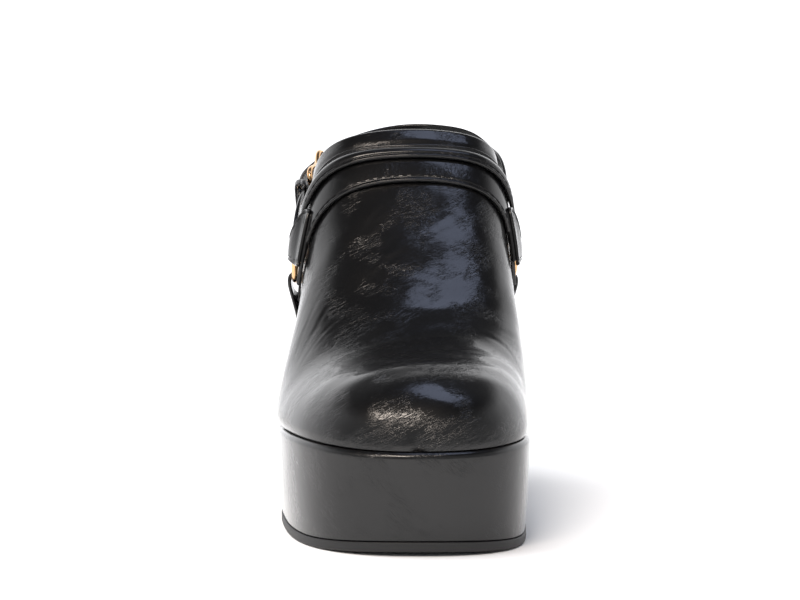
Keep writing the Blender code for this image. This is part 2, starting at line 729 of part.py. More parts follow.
def build_buckle(metal, leather):
    """Wire frame round the strap, its prong and the keeper."""
    bar = BUCKLE_WIRE + GAP + STRAP_THICKNESS / 2
    turn = np.linspace(0, 2 * np.pi, BUCKLE_POINTS, endpoint=False)
    s_half = BUCKLE_LENGTH / 2
    w_half = STRAP_WIDTH / 2 + BUCKLE_WIRE + 3 * GAP
    s = BUCKLE_PLACE + s_half - s_half * np.sign(np.cos(turn)) * np.abs(np.cos(turn)) ** BUCKLE_CORNER
    w = w_half * np.sign(np.sin(turn)) * np.abs(np.sin(turn)) ** BUCKLE_CORNER
    height = bar * (s - BUCKLE_PLACE - s_half) / s_half
    wire("buckle_frame", strap_point(s, height, w), BUCKLE_WIRE, True, metal)

    top = 1.5 * STRAP_THICKNESS + 2 * GAP + BUCKLE_WIRE
    s = np.linspace(BUCKLE_PLACE + 2 * BUCKLE_WIRE, BUCKLE_PLACE + BUCKLE_LENGTH + BUCKLE_WIRE, PRONG_POINTS)
    rise = ease((s - s[0]) / (s[-4] - s[0]))
    over_bar = bar + 2 * BUCKLE_WIRE + GAP
    height = top + (over_bar - top) * rise
    wire("buckle_prong", strap_point(s, height, 0 * s), BUCKLE_WIRE, False, metal)

    thickness = STRAP_THICKNESS
    place = BUCKLE_PLACE - TIP_LENGTH / 2 - KEEPER_WIDTH / 2
    half = STRAP_WIDTH / 2 + GAP + thickness / 2
    low, high = -thickness - GAP, 2 * thickness + 2 * GAP
    turn = np.linspace(0, 2 * np.pi, KEEPER_POINTS, endpoint=False)
    w = half * np.sign(np.cos(turn)) * np.abs(np.cos(turn)) ** KEEPER_CORNER
    h = (low + high) / 2 + (high - low) / 2 * np.sign(np.sin(turn)) * np.abs(np.sin(turn)) ** KEEPER_CORNER
    edges = [strap_point(np.full(KEEPER_POINTS, place + e), h, w)
             for e in (0, KEEPER_WIDTH / 2, KEEPER_WIDTH)]
    points = np.stack(edges, 1)
    made = finish("strap_keeper", grid_mesh(points, closed=True), leather)
    solidify(made, thickness, 0)


def main():
    """Builds every piece."""
    patent = material("crinkled_patent", (0.012, 0.012, 0.014), 0.18, coat=1.0)
    rubber = material("black_rubber", (0.022, 0.022, 0.023), 0.6)
    lining = material("lining", (0.05, 0.035, 0.03), 0.55)
    gold = material("pale_gold", (0.83, 0.55, 0.30), 0.2, metallic=1.0)
    build_platform(patent)
    build_outsole(rubber)
    build_heel(patent, rubber)
    build_insole(lining)
    build_upper(patent)
    build_bands(patent)
    build_rings(gold)
    build_ring_tabs(patent)
    build_stay_straps(patent)
    build_back_straps(patent)
    build_buckle(gold, patent)


for old in list(bpy.data.objects):
    bpy.data.objects.remove(old)
PARTS = bpy.data.collections.new("platform_mule")
bpy.context.scene.collection.children.link(PARTS)
main()
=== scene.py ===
"""Platform mule, right shoe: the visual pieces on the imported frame, their looks, light and camera.

Metres, +Z up. The toe points to -Y and the medial side is +X. A share is a share of the
length from the toe. An angle of the upper runs from the medial feather edge (0) over the
crown (90 degrees) to the lateral feather edge (180).
"""

import bpy
import numpy as np
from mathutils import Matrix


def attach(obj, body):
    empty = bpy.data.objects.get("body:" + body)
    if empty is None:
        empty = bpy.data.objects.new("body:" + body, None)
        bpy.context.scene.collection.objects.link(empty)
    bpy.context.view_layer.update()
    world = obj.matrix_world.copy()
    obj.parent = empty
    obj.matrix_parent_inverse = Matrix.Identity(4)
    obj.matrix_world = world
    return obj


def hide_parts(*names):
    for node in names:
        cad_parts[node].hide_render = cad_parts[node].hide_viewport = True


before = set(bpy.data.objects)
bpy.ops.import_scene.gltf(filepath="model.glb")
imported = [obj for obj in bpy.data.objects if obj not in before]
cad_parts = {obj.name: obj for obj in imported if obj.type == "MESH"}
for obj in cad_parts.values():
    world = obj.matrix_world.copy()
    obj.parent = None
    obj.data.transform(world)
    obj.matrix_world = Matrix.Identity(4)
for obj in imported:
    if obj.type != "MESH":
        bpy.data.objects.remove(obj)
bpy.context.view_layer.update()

# Driving sizes of the last and the sole, as in the CAD model
LENGTH = 0.240
BALL_WIDTH = 0.104
HEEL_HEIGHT = 0.0955
PLATFORM_HEIGHT = 0.038
INSTEP_HEIGHT = 0.100
BALL_SHARE = 88 / 240
TOE_SPRING = 0.002
OUTSOLE_THICKNESS = 0.004
SEAT_THICKNESS = 0.0145
LIFT_THICKNESS = 0.006
INSOLE_THICKNESS = 0.0025
PLATFORM_EDGE = 0.0025
PLATFORM_DRAFT = 0.0018
HEEL_BREAST = 0.70
HEEL_TAPER = 0.17
HEEL_RAKE = 0.006
LIFT_INSET = 0.0006

# Driving sizes of the upper and the harness
GAP = 0.0003
WALL = 0.002
FEATHER = 0.0016
FEATHER_LIFT = 0.00045
BAND_THICKNESS = 0.0017
STRAP_THICKNESS = 0.0014
STRAP_WIDTH = 0.0165
LOOP_WIDTH = 0.010
STRAP_HEIGHT = 0.0528
RING_RADIUS = 0.0126
RING_WIRE = 0.0013
RING_SHARE = 152 / 240
RING_ANGLE = 17.0
TAB_LENGTH = 0.015
TAB_WIDTH = 0.026
TAB_RISE = 0.0055
TAB_SHOULDER = 0.7
TAB_FLARE = {"lateral": 0.0014, "medial": -0.0022}
TAB_TILT = {"lateral": 0.0, "medial": 0.09}
LEG_LENGTH = 0.0038
STAY_WIDTH = 0.013
BUCKLE_LENGTH = 0.029
BUCKLE_WIRE = 0.0011
BUCKLE_PLACE = 0.037
KEEPER_WIDTH = 0.006
TIP_LENGTH = 0.016
TAB_TURN = 172.0
HEEL_STRAP_TURN = 40.0
STAY_TURN = -90.0


def table(columns, *rows):
    """Column name to the array of its values."""
    return dict(zip(columns.split(), np.array(rows, float).T))


OUTLINE = table(
    "share lateral medial middle",
    (0.00, 1.010, 1.060, 0.105), (0.06, 1.010, 1.030, 0.092), (0.15, 0.995, 0.968, 0.065),
    (0.28, 0.988, 0.955, 0.020), (0.375, 1.000, 0.972, 0.000), (0.48, 0.945, 0.880, 0.000),
    (0.58, 0.850, 0.745, 0.000), (0.68, 0.755, 0.670, 0.000), (0.78, 0.690, 0.655, 0.000),
    (0.88, 0.660, 0.660, 0.000), (1.00, 0.640, 0.650, 0.000),
)
TOE_REACH, TOE_ROUND = 0.3125, 2.5
BACK_REACH, BACK_ROUND = 0.13, 2.2
CUT_REACH, CUT_ROUND = 0.06, 6.0
FOOTBED = table(
    "share rise",
    (0.00, 0.045), (0.06, 0.063), (0.125, 0.070), (0.20, 0.063), (0.29, 0.036), (0.375, 0.018),
    (0.46, 0.079), (0.54, 0.228), (0.625, 0.447), (0.71, 0.684), (0.79, 0.860), (0.875, 0.956),
    (1.00, 1.000),
)
UNDERSIDE = table(
    "share lift",
    (0.00, 0.00), (0.44, 0.00), (0.50, 0.05), (0.56, 0.18), (0.62, 0.39),
    (0.68, 0.62), (0.74, 0.78), (0.82, 0.90), (1.00, 1.00),
)
SPRING_REACH = 0.12
SECTIONS = table(
    "share lateral medial crown lean square",
    (0.000, 1.000, 1.040, 0.310, 0.06, 0.020), (0.083, 0.995, 0.990, 0.298, 0.10, 0.020),
    (0.167, 0.985, 0.945, 0.306, 0.15, 0.020), (0.250, 1.000, 0.935, 0.350, 0.19, 0.025),
    (0.333, 1.015, 0.970, 0.464, 0.19, 0.030), (0.417, 0.990, 0.955, 0.664, 0.16, 0.045),
    (0.500, 0.910, 0.905, 0.847, 0.11, 0.060), (0.592, 0.860, 0.840, 1.000, 0.08, 0.078),
    (0.667, 0.825, 0.775, 1.060, 0.07, 0.080), (0.854, 0.720, 0.655, 1.120, 0.05, 0.080),
)
CAP_REACH, CAP_ROUND = 0.167, 2.15
TUCK_REACH = 0.14
COLLAR_CROWN, COLLAR_FOOT, COLLAR_SWEEP = 142 / 240, 205 / 240, 1.2
COLLAR_SQUARE = 0.08
BANDS = {
    "instep_band_lower": table("crown end angle", (0.5167, 0.542, 20.5), (0.5590, 0.584, 32.6)),
    "instep_band_upper": table("crown end angle", (0.5440, 0.575, 31.0), (0.5660, 0.597, 38.5)),
}
BAND_SWEEP = 2.0
OVERLAP = (0.36, 0.80)
BACK_PATH = {
    "lateral": table(
        "share out high",
        (0.742, 0.860, 0.485), (0.825, 0.812, 0.630), (0.892, 0.700, 0.742),
        (0.938, 0.567, 0.843), (0.971, 0.327, 0.937),
    ),
    "medial": table(
        "share out high",
        (0.742, 0.850, 0.530), (0.833, 0.785, 0.785), (0.900, 0.685, 0.862),
        (0.942, 0.545, 0.953), (0.971, 0.327, 0.997),
    ),
}
BACK_SHARE = 0.9865

# Finish of the visual pieces
MESH_STEP = 0.0008
GROOVE_DEPTH = 0.00028
GROOVE_WIDTH = 0.0004
TAB_STAND = 0.0031
STITCH_INSET = 0.0019
STITCH_PITCH = 0.0031
STITCH_LENGTH = 0.0023
STITCH_RADIUS = 0.00024
COLLAR_LIP = 0.0005
COLLAR_LIP_REACH = 0.0035


def natural(x, xs, ys):
    """Natural cubic spline through the knots, read at x; ys may hold points.

    On each interval, value = a y0 + b y1 + ((a^3 - a) m0 + (b^3 - b) m1) h^2 / 6, where b is the
    share of the way, a = 1 - b, h the interval and m the second derivatives at the knots.
    """
    ys = np.asarray(ys, float)
    flat = ys.reshape(len(xs), -1)
    gaps = np.diff(xs)
    matrix = np.eye(len(xs))
    right = np.zeros_like(flat)
    slopes = np.diff(flat, axis=0) / gaps[:, None]
    for i in range(1, len(xs) - 1):
        matrix[i, i - 1:i + 2] = gaps[i - 1], 2 * (gaps[i - 1] + gaps[i]), gaps[i]
        right[i] = 6 * (slopes[i] - slopes[i - 1])
    bend = np.linalg.solve(matrix, right)
    x = np.clip(np.asarray(x, float), xs[0], xs[-1])
    i = np.clip(np.searchsorted(xs, x) - 1, 0, len(xs) - 2)
    h = gaps[i][..., None]
    a = (np.asarray(xs)[i + 1] - x)[..., None] / h
    b = 1 - a
    curve = (a ** 3 - a) * bend[i] + (b ** 3 - b) * bend[i + 1]
    value = a * flat[i] + b * flat[i + 1] + curve * h * h / 6
    return value.reshape(x.shape + ys.shape[1:])


def steady(x, xs, ys):
    """Cubic through the knots that stays between neighbours, so a flat stretch stays flat."""
    gaps = np.diff(xs)
    slopes = np.diff(ys) / gaps
    tangent = np.zeros(len(xs))
    rising = slopes[:-1] * slopes[1:] > 0
    safe = np.where(rising, slopes[:-1] * slopes[1:], 1)
    tangent[1:-1] = np.where(rising, 2 * safe / np.where(rising, slopes[:-1] + slopes[1:], 1), 0)
    x = np.clip(x, xs[0], xs[-1])
    i = np.clip(np.searchsorted(xs, x) - 1, 0, len(xs) - 2)
    t = (x - xs[i]) / gaps[i]
    start = t * (1 - t) ** 2 * gaps[i] * tangent[i]
    stop = t * t * (t - 1) * gaps[i] * tangent[i + 1]
    return ys[i] + (ys[i + 1] - ys[i]) * t * t * (3 - 2 * t) + start + stop


def round_end(t, power):
    """0 at t = 0, 1 from t = 1 on, along a quarter of a superellipse."""
    return (1 - (1 - np.clip(t, 0, 1)) ** power) ** (1 / power)


def ease(t):
    """Smooth step from 0 to 1."""
    t = np.clip(t, 0, 1)
    return t * t * (3 - 2 * t)


def bell(distance, width):
    """1 at distance 0, falling off smoothly: exp(-(distance / width)^2)."""
    return np.exp(-(distance / width) ** 2)


def unit(v):
    """Vectors of length 1."""
    return v / np.maximum(np.linalg.norm(v, axis=-1, keepdims=True), 1e-12)


def station(share):
    """Y of a share of the length."""
    return (share - BALL_SHARE) * LENGTH


def footbed(share):
    """Height of the platform's top."""
    return PLATFORM_HEIGHT + (HEEL_HEIGHT - PLATFORM_HEIGHT) * natural(
        share, FOOTBED["share"], FOOTBED["rise"])


def underside(share):
    """Height of the platform's underside."""
    seat = HEEL_HEIGHT - SEAT_THICKNESS - OUTSOLE_THICKNESS
    spring = TOE_SPRING * np.clip(1 - share / SPRING_REACH, 0, 1) ** 2
    return OUTSOLE_THICKNESS + seat * steady(share, UNDERSIDE["share"], UNDERSIDE["lift"]) + spring


# Meshes

def grid_faces(rows, columns, wrap=False, start=0):
    """Quads over a grid of vertices; wrap joins the last column to the first."""
    i = np.arange(rows - 1)[:, None]
    j = np.arange(columns if wrap else columns - 1)[None, :]
    a = i * columns + j
    b = i * columns + (j + 1) % columns
    return np.stack([a, b, b + columns, a + columns], -1).reshape(-1, 4) + start


def outward(points, faces):
    """The faces of a closed form, turned so that its signed volume is positive."""
    a, b, c, d = (points[faces[:, k]] for k in range(4))
    volume = np.sum(a * np.cross(b, c)) + np.sum(a * np.cross(c, d))
    return faces if volume > 0 else faces[:, ::-1]


def add_mesh(name, points, faces, looks, parts=None, soft=True):
    """An object at the origin from points and quads; parts holds each face's material index."""
    points = points.reshape(-1, 3)
    corners = [list(dict.fromkeys(face)) for face in faces.tolist()]
    keep = [k for k, face in enumerate(corners) if len(face) > 2]
    mesh = bpy.data.meshes.new(name)
    mesh.from_pydata(points.tolist(), [], [corners[k] for k in keep])
    for look in looks:
        mesh.materials.append(look)
    if parts is not None:
        mesh.polygons.foreach_set("material_index", parts[keep])
    mesh.polygons.foreach_set("use_smooth", np.full(len(keep), soft))
    mesh.update()
    made = bpy.data.objects.new(name, mesh)
    bpy.context.scene.collection.objects.link(made)
    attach(made, "root")
    return made


# Sole

def half_width(share, column, start=0.0, stop=1.0):
    """Half width of the footbed on one side, between a toe end and a back end."""
    front_reach, front_round = (TOE_REACH, TOE_ROUND) if start == 0 else (CUT_REACH, CUT_ROUND)
    back_reach, back_round = (BACK_REACH, BACK_ROUND) if stop == 1 else (CUT_REACH, CUT_ROUND)
    ends = round_end((share - start) / front_reach, front_round)
    ends = ends * round_end((stop - share) / back_reach, back_round)
    return BALL_WIDTH / 2 * natural(share, OUTLINE["share"], OUTLINE[column]) * ends


def middle(share):
    """X of the middle of the outline: the toe leans to the medial side."""
    return BALL_WIDTH / 2 * natural(share, OUTLINE["share"], OUTLINE["middle"])


def plan_ring(inset, start=0.0, stop=1.0, count=180):
    """Plan outline as a ring from the toe over the medial side and back, inset inwards.

    Stations are spaced as (1 - cos) at both ends, so the round ends are smooth.
    """
    share = start + (stop - start) * (1 - np.cos(np.linspace(0, np.pi, count))) / 2
    medial = np.stack([middle(share) + half_width(share, "medial", start, stop), station(share)], -1)
    lateral = np.stack([middle(share) - half_width(share, "lateral", start, stop), station(share)], -1)
    ring = np.concatenate([medial, lateral[-2:0:-1]])
    along = unit(np.roll(ring, -1, 0) - np.roll(ring, 1, 0))
    away = np.stack([along[:, 1], -along[:, 0]], -1)
    return ring - away * inset


def share_of(ring):
    """Share of the length at each point of a ring."""
    return ring[:, 1] / LENGTH + BALL_SHARE


def level(inset, surface, offset, start=0.0, stop=1.0):
    """One level of a stack: the outline inset, on a height function plus an offset."""
    ring = plan_ring(inset, start, stop)
    return np.column_stack([ring, surface(share_of(ring)) + offset])


def stack(name, levels, look, node):
    """A closed solid through rings of points; both ends are closed by strips across."""
    points = np.stack(levels)
    rows, count = points.shape[:2]
    i = np.arange(count // 2)
    strip = np.stack([i, -i % count, -(i + 1) % count, i + 1], -1)
    faces = np.concatenate([
        grid_faces(rows, count, wrap=True), strip, strip[:, ::-1] + (rows - 1) * count])
    flat = points.reshape(-1, 3)
    made = add_mesh(name, points, outward(flat, faces), [look])
    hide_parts(node)
    return made


def rounded(inset, surface, offset, radius, turns, sign, start=0.0, stop=1.0):
    """Levels round an edge: inset grows by radius (1 - cos), height falls short by radius (1 - sin)."""
    return [level(inset + radius * (1 - np.cos(turn)), surface, offset - sign * radius * (1 - np.sin(turn)),
                  start, stop) for turn in turns]


def build_sole(patent, rubber, lining):
    """Platform, outsole, heel, its rubber lift and the insole.

    Each is a stack of plan outlines: the platform bulges by sin(pi t) between its rounded
    edges, the heel narrows linearly towards the floor.
    """
    quarter = np.linspace(0, np.pi / 2, 9)
    low = rounded(PLATFORM_DRAFT, underside, 0, 0.0008, quarter[::-1], -1)
    side = []
    for t in np.linspace(0, 1, 16)[1:-1]:
        ring = plan_ring(PLATFORM_DRAFT * (1 - t) - 0.0002 * np.sin(np.pi * t))
        share = share_of(ring)
        bottom, top = underside(share) + 0.0008, footbed(share) - PLATFORM_EDGE
        side.append(np.column_stack([ring, bottom + (top - bottom) * t]))
    high = rounded(0, footbed, 0, PLATFORM_EDGE, quarter, 1)
    stack("platform_wrap", low + side + high, patent, "platform")

    stop = HEEL_BREAST - 4 * GAP / LENGTH
    thick = -OUTSOLE_THICKNESS
    edge = rounded(PLATFORM_DRAFT - 0.0003, underside, thick, 0.0009, quarter[::-2], -1, 0, stop)
    edge += [level(PLATFORM_DRAFT - 0.0003, underside, thick * (1 - t), 0, stop) for t in (0.4, 0.6, 0.8)]
    edge += rounded(PLATFORM_DRAFT - 0.0003, underside, -GAP / 3, 0.0004, quarter[::2], 1, 0, stop)
    stack("outsole_rubber", edge, rubber, "outsole")

    pivot = station((HEEL_BREAST + 1) / 2)

    def heel_ring(drop, inset):
        ring = plan_ring(PLATFORM_DRAFT + inset, HEEL_BREAST, 1.0)
        narrow = 1 - HEEL_TAPER * drop
        return np.stack([ring[:, 0] * narrow, pivot + (ring[:, 1] - pivot) * narrow - HEEL_RAKE * drop], -1)

    seat = underside(share_of(heel_ring(0, 0))) - GAP / 3
    foot = LIFT_THICKNESS + GAP / 3
    levels = []
    for drop in np.linspace(1, 0, 12):
        for inset in ((0.0006, 0.0002, 0) if drop == 1 else (0,)):
            rise = 0.0006 - inset if drop == 1 else 0.0006 * drop
            levels.append(np.column_stack([heel_ring(drop, inset), foot + (seat - foot) * (1 - drop) + rise]))
    stack("heel_wrap", levels, patent, "heel")
    levels = []
    for inset, z in ((0.0010, 0), (0.0003, 0.0003), (0, 0.001), (0, LIFT_THICKNESS - 0.0004),
                     (0.0003, LIFT_THICKNESS)):
        ring = heel_ring(1, LIFT_INSET + inset)
        levels.append(np.column_stack([ring, np.full(len(ring), z)]))
    stack("heel_lift_rubber", levels, rubber, "heel_top_piece")

    narrow = plan_ring(FEATHER + WALL + 2 * GAP)
    wide = plan_ring(FEATHER / 2 + PLATFORM_EDGE / 2)
    free = ease((share_of(narrow) - COLLAR_FOOT - 0.012) / 0.06)[:, None]
    ring = narrow + (wide - narrow) * free
    centre = np.array([0, station(0.5)])
    levels = []
    for inset, high in ((0.0004, 0.0), (0, 0.0003), (0, 0.0013), (0.0002, 0.0019), (0.0006, 0.0023),
                        (0.0012, 0.0025), (0.003, 0.0026), (0.008, 0.0027), (0.016, 0.0028), (0.026, 0.0028)):
        shrunk = centre + (ring - centre) * (1 - 2 * inset / BALL_WIDTH)
        levels.append(np.column_stack([shrunk, footbed(share_of(shrunk)) + high + GAP / 3]))
    stack("insole_cover", levels, lining, "insole")


# Upper

def section(angle, square):
    """Rounded section: a circle squared by its third harmonic; 0 is the medial feather edge."""
    across = (np.cos(angle) - square * np.cos(3 * angle)) / (1 - square)
    up = (np.sin(angle) + square * np.sin(3 * angle)) / (1 - square)
    return across, up


def upper_point(share, angle):
    """Point of the lasted surface at a share of the length and an angle of the section."""
    share, angle = np.broadcast_arrays(np.asarray(share, float), np.asarray(angle, float))
    columns = np.stack([SECTIONS[name] for name in ("lateral", "medial", "crown", "lean", "square")], -1)
    row = natural(share, SECTIONS["share"], columns)
    lateral, medial, crown, lean, square = np.moveaxis(row, -1, 0)
    half = BALL_WIDTH / 2
    across, up = section(angle, square)
    narrow = 1 - FEATHER / half
    toe = round_end(share / TOE_REACH, TOE_ROUND)
    swell = 1 - (1 - np.clip(up / TUCK_REACH, 0, 1)) ** 2
    width = []
    for column, side in ((medial, "medial"), (lateral, "lateral")):
        feather = half_width(share, side) * narrow
        width.append(feather + (half * column * toe - feather) * swell)
    mean, odd = (width[0] + width[1]) / 2, (width[0] - width[1]) / 2
    x = middle(share) + across * mean + across * across * odd + half * lean * up * up * toe
    set_back = FEATHER * np.clip(1 - share / TOE_REACH, 0, 1)
    z = footbed(share) + FEATHER_LIFT + INSTEP_HEIGHT * crown * round_end(share / CAP_REACH, CAP_ROUND) * up
    return np.stack([x, station(share) + set_back, z], -1)


def upper_normal(share, angle):
    """Outward direction of the upper's surface, by central differences."""
    step = 1e-4
    along = upper_point(share + step, angle) - upper_point(share - step, angle)
    turn = upper_point(share, angle + step) - upper_point(share, angle - step)
    return unit(np.cross(along, turn))


def on_upper(share, angle, stand):
    """Point at a height over the upper's surface."""
    return upper_point(share, angle) + upper_normal(share, angle) * np.asarray(stand)[..., None]


def collar(angle):
    """Share of the length where the upper ends: furthest forward at the crown."""
    up = section(angle, COLLAR_SQUARE)[1]
    return COLLAR_CROWN + (COLLAR_FOOT - COLLAR_CROWN) * np.clip(1 - up, 0, 1) ** COLLAR_SWEEP


# Creases: both ends as share and degrees, sideways bow in mm, depth and width in mm
CREASES = table(
    "share_a angle_a share_b angle_b bow depth width",
    (0.355, 153, 0.425, 130, 1.6, 0.09, 0.75),
    (0.335, 150, 0.395, 126, 1.2, 0.08, 0.70),
    (0.312, 150, 0.362, 124, 1.6, 0.08, 0.75),
    (0.385, 158, 0.450, 138, 0.8, 0.06, 0.70),
    (0.325, 140, 0.352, 120, 1.0, 0.07, 0.70),
    (0.300, 70, 0.285, 38, 2.0, 0.10, 1.40),
    (0.330, 60, 0.372, 34, -2.0, 0.08, 1.20),
    (0.440, 114, 0.470, 100, 1.0, 0.10, 0.80),
    (0.415, 112, 0.448, 97, 1.0, 0.13, 0.80),
    (0.398, 110, 0.428, 96, 1.2, 0.13, 0.80),
    (0.382, 107, 0.405, 92, 1.4, 0.14, 0.90),
    (0.366, 105, 0.384, 90, 1.4, 0.10, 0.80),
    (0.463, 113, 0.492, 103, 0.8, 0.09, 0.80),
    (0.455, 88, 0.480, 76, 0.5, 0.09, 0.80),
    (0.440, 86, 0.466, 74, 0.5, 0.08, 0.80),
    (0.402, 88, 0.404, 74, 1.2, 0.07, 0.80),
)
# Patches of small wrinkles: middle, spread and slope of the run (share per radian), count, mm
WRINKLES = table(
    "share angle share_spread angle_spread slope count length depth width",
    (0.430, 104, 0.045, 7, 0.080, 26, 7.0, 0.045, 0.65),
    (0.455, 83, 0.030, 7, 0.090, 12, 7.0, 0.040, 0.65),
    (0.375, 138, 0.035, 9, 0.100, 16, 9.0, 0.050, 0.70),
    (0.395, 78, 0.020, 9, 0.010, 8, 6.0, 0.030, 0.70),
)
SPAN = 46.0


def crease_rows():
    """All creases as rows: share and radians of both ends, bow, depth and width in mm."""
    rows = np.stack([CREASES[c] for c in ("share_a", "angle_a", "share_b", "angle_b", "bow", "depth", "width")], -1)
    rows[:, [1, 3]] = np.radians(rows[:, [1, 3]])
    rng = np.random.default_rng(11)
    made = [rows]
    for k, count in enumerate(WRINKLES["count"].astype(int)):
        w = {name: column[k] for name, column in WRINKLES.items()}
        share = w["share"] + w["share_spread"] * rng.normal(0, 0.6, count)
        angle = np.radians(w["angle"] + w["angle_spread"] * rng.normal(0, 0.6, count))
        reach = w["length"] * rng.uniform(0.5, 1.2, count) / SPAN / 2
        slope = w["slope"] * rng.normal(1, 0.35, count)
        depth = w["depth"] * rng.uniform(0.4, 1.2, count)
        width = w["width"] * rng.uniform(0.8, 1.3, count)
        bow = rng.normal(0, 0.5, count)
        made.append(np.stack([share - slope * reach, angle + reach, share + slope * reach, angle - reach,
                              bow, depth, width], -1))
    return np.concatenate(made)


def crease_depth(share, angle):
    """Outward shift of the upper, in metres: each crease is a trough with a ridge beside it.

    t is the share of the way between the ends, d the distance from the bowed line;
    shift = depth * sqrt(sin(pi t)) * (0.55 bell(d - 1.7 w, w) - bell(d, w)).
    """
    x, y = share * LENGTH * 1000, angle * SPAN
    shift = np.zeros(np.broadcast(share, angle).shape)
    x, y = np.broadcast_arrays(x, y)
    for share_a, angle_a, share_b, angle_b, bow, depth, width in crease_rows():
        a = np.array([share_a * LENGTH * 1000, angle_a * SPAN])
        run = np.array([share_b * LENGTH * 1000, angle_b * SPAN]) - a
        length = np.hypot(*run)
        along = run / length
        t = ((x - a[0]) * along[0] + (y - a[1]) * along[1]) / length
        near = (t > 0) & (t < 1)
        d = (y[near] - a[1]) * along[0] - (x[near] - a[0]) * along[1] - bow * 4 * t[near] * (1 - t[near])
        fade = np.sqrt(np.sin(np.pi * t[near]))
        shift[near] += depth / 1000 * fade * (0.55 * bell(d - 1.7 * width, width) - bell(d, width))
    soft = 0.0007 * bell(share - 0.275, 0.030) * bell(angle - np.radians(95), np.radians(55))
    swell = 0.0003 * np.sin(angle * 5.0 + share * 40) * np.sin(share * 62 + 1.0)
    return shift - soft + swell * ease(share / 0.05) * np.sin(angle) ** 2


def build_upper(patent, lining):
    """The shell from the toe to the collar: lasted surface, creases, rolled collar edge and lining.

    Rings run over the outside from the medial to the lateral feather edge and back along the
    inside; towards the collar both close on the middle of the wall as a half circle.
    """
    rows, columns = 250, 190
    v = np.linspace(0, 1, rows)
    v = v * v / (v + 0.3 * (1 - v) + 1e-9)
    angle = np.linspace(0, np.pi, columns)[None, :]
    tip = 1 - WALL / 2 / 0.12 * (1 - np.sin(np.linspace(0, np.pi / 2, 7)))
    v = np.concatenate([v[v < tip[0]], tip])[:, None]
    share = v * collar(angle)
    base, normal = upper_point(share, angle), upper_normal(share, angle)
    left = (1 - v) * 0.12
    closing = np.sqrt(np.clip(1 - (1 - np.clip(left / (WALL / 2), 0, 1)) ** 2, 0, 1))
    lip = COLLAR_LIP * ease(1 - (left - COLLAR_LIP_REACH) / 0.001)
    inside_edge = ease(np.sin(angle) / 0.12)
    shift = (crease_depth(share, angle) * ease(left / 0.008) + lip * inside_edge) * closing
    outer = base + normal * (shift - WALL / 2 * (1 - closing))[..., None]
    wall = WALL * ease(share / 0.03)
    inner = base - normal * (wall / 2 + wall / 2 * closing)[..., None]
    ring = np.concatenate([outer, inner[:, ::-1]], 1)
    count = ring.shape[1]
    faces = grid_faces(len(ring), count, wrap=True)
    column = np.tile(np.arange(count), len(ring) - 1)
    rim = np.arange(columns - 1)
    last = (len(ring) - 1) * count
    cap = np.stack([rim, rim + 1, count - 2 - rim, count - 1 - rim], -1)
    faces = np.concatenate([faces, cap[:, ::-1], cap + last])
    parts = np.concatenate([(column >= columns - 1).astype(int), np.zeros(2 * len(rim), int)])
    flat = ring.reshape(-1, 3)
    turned = outward(flat, faces)
    made = add_mesh("upper_shell", flat, turned, [patent, lining], parts)
    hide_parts("upper")
    return made


# Straps

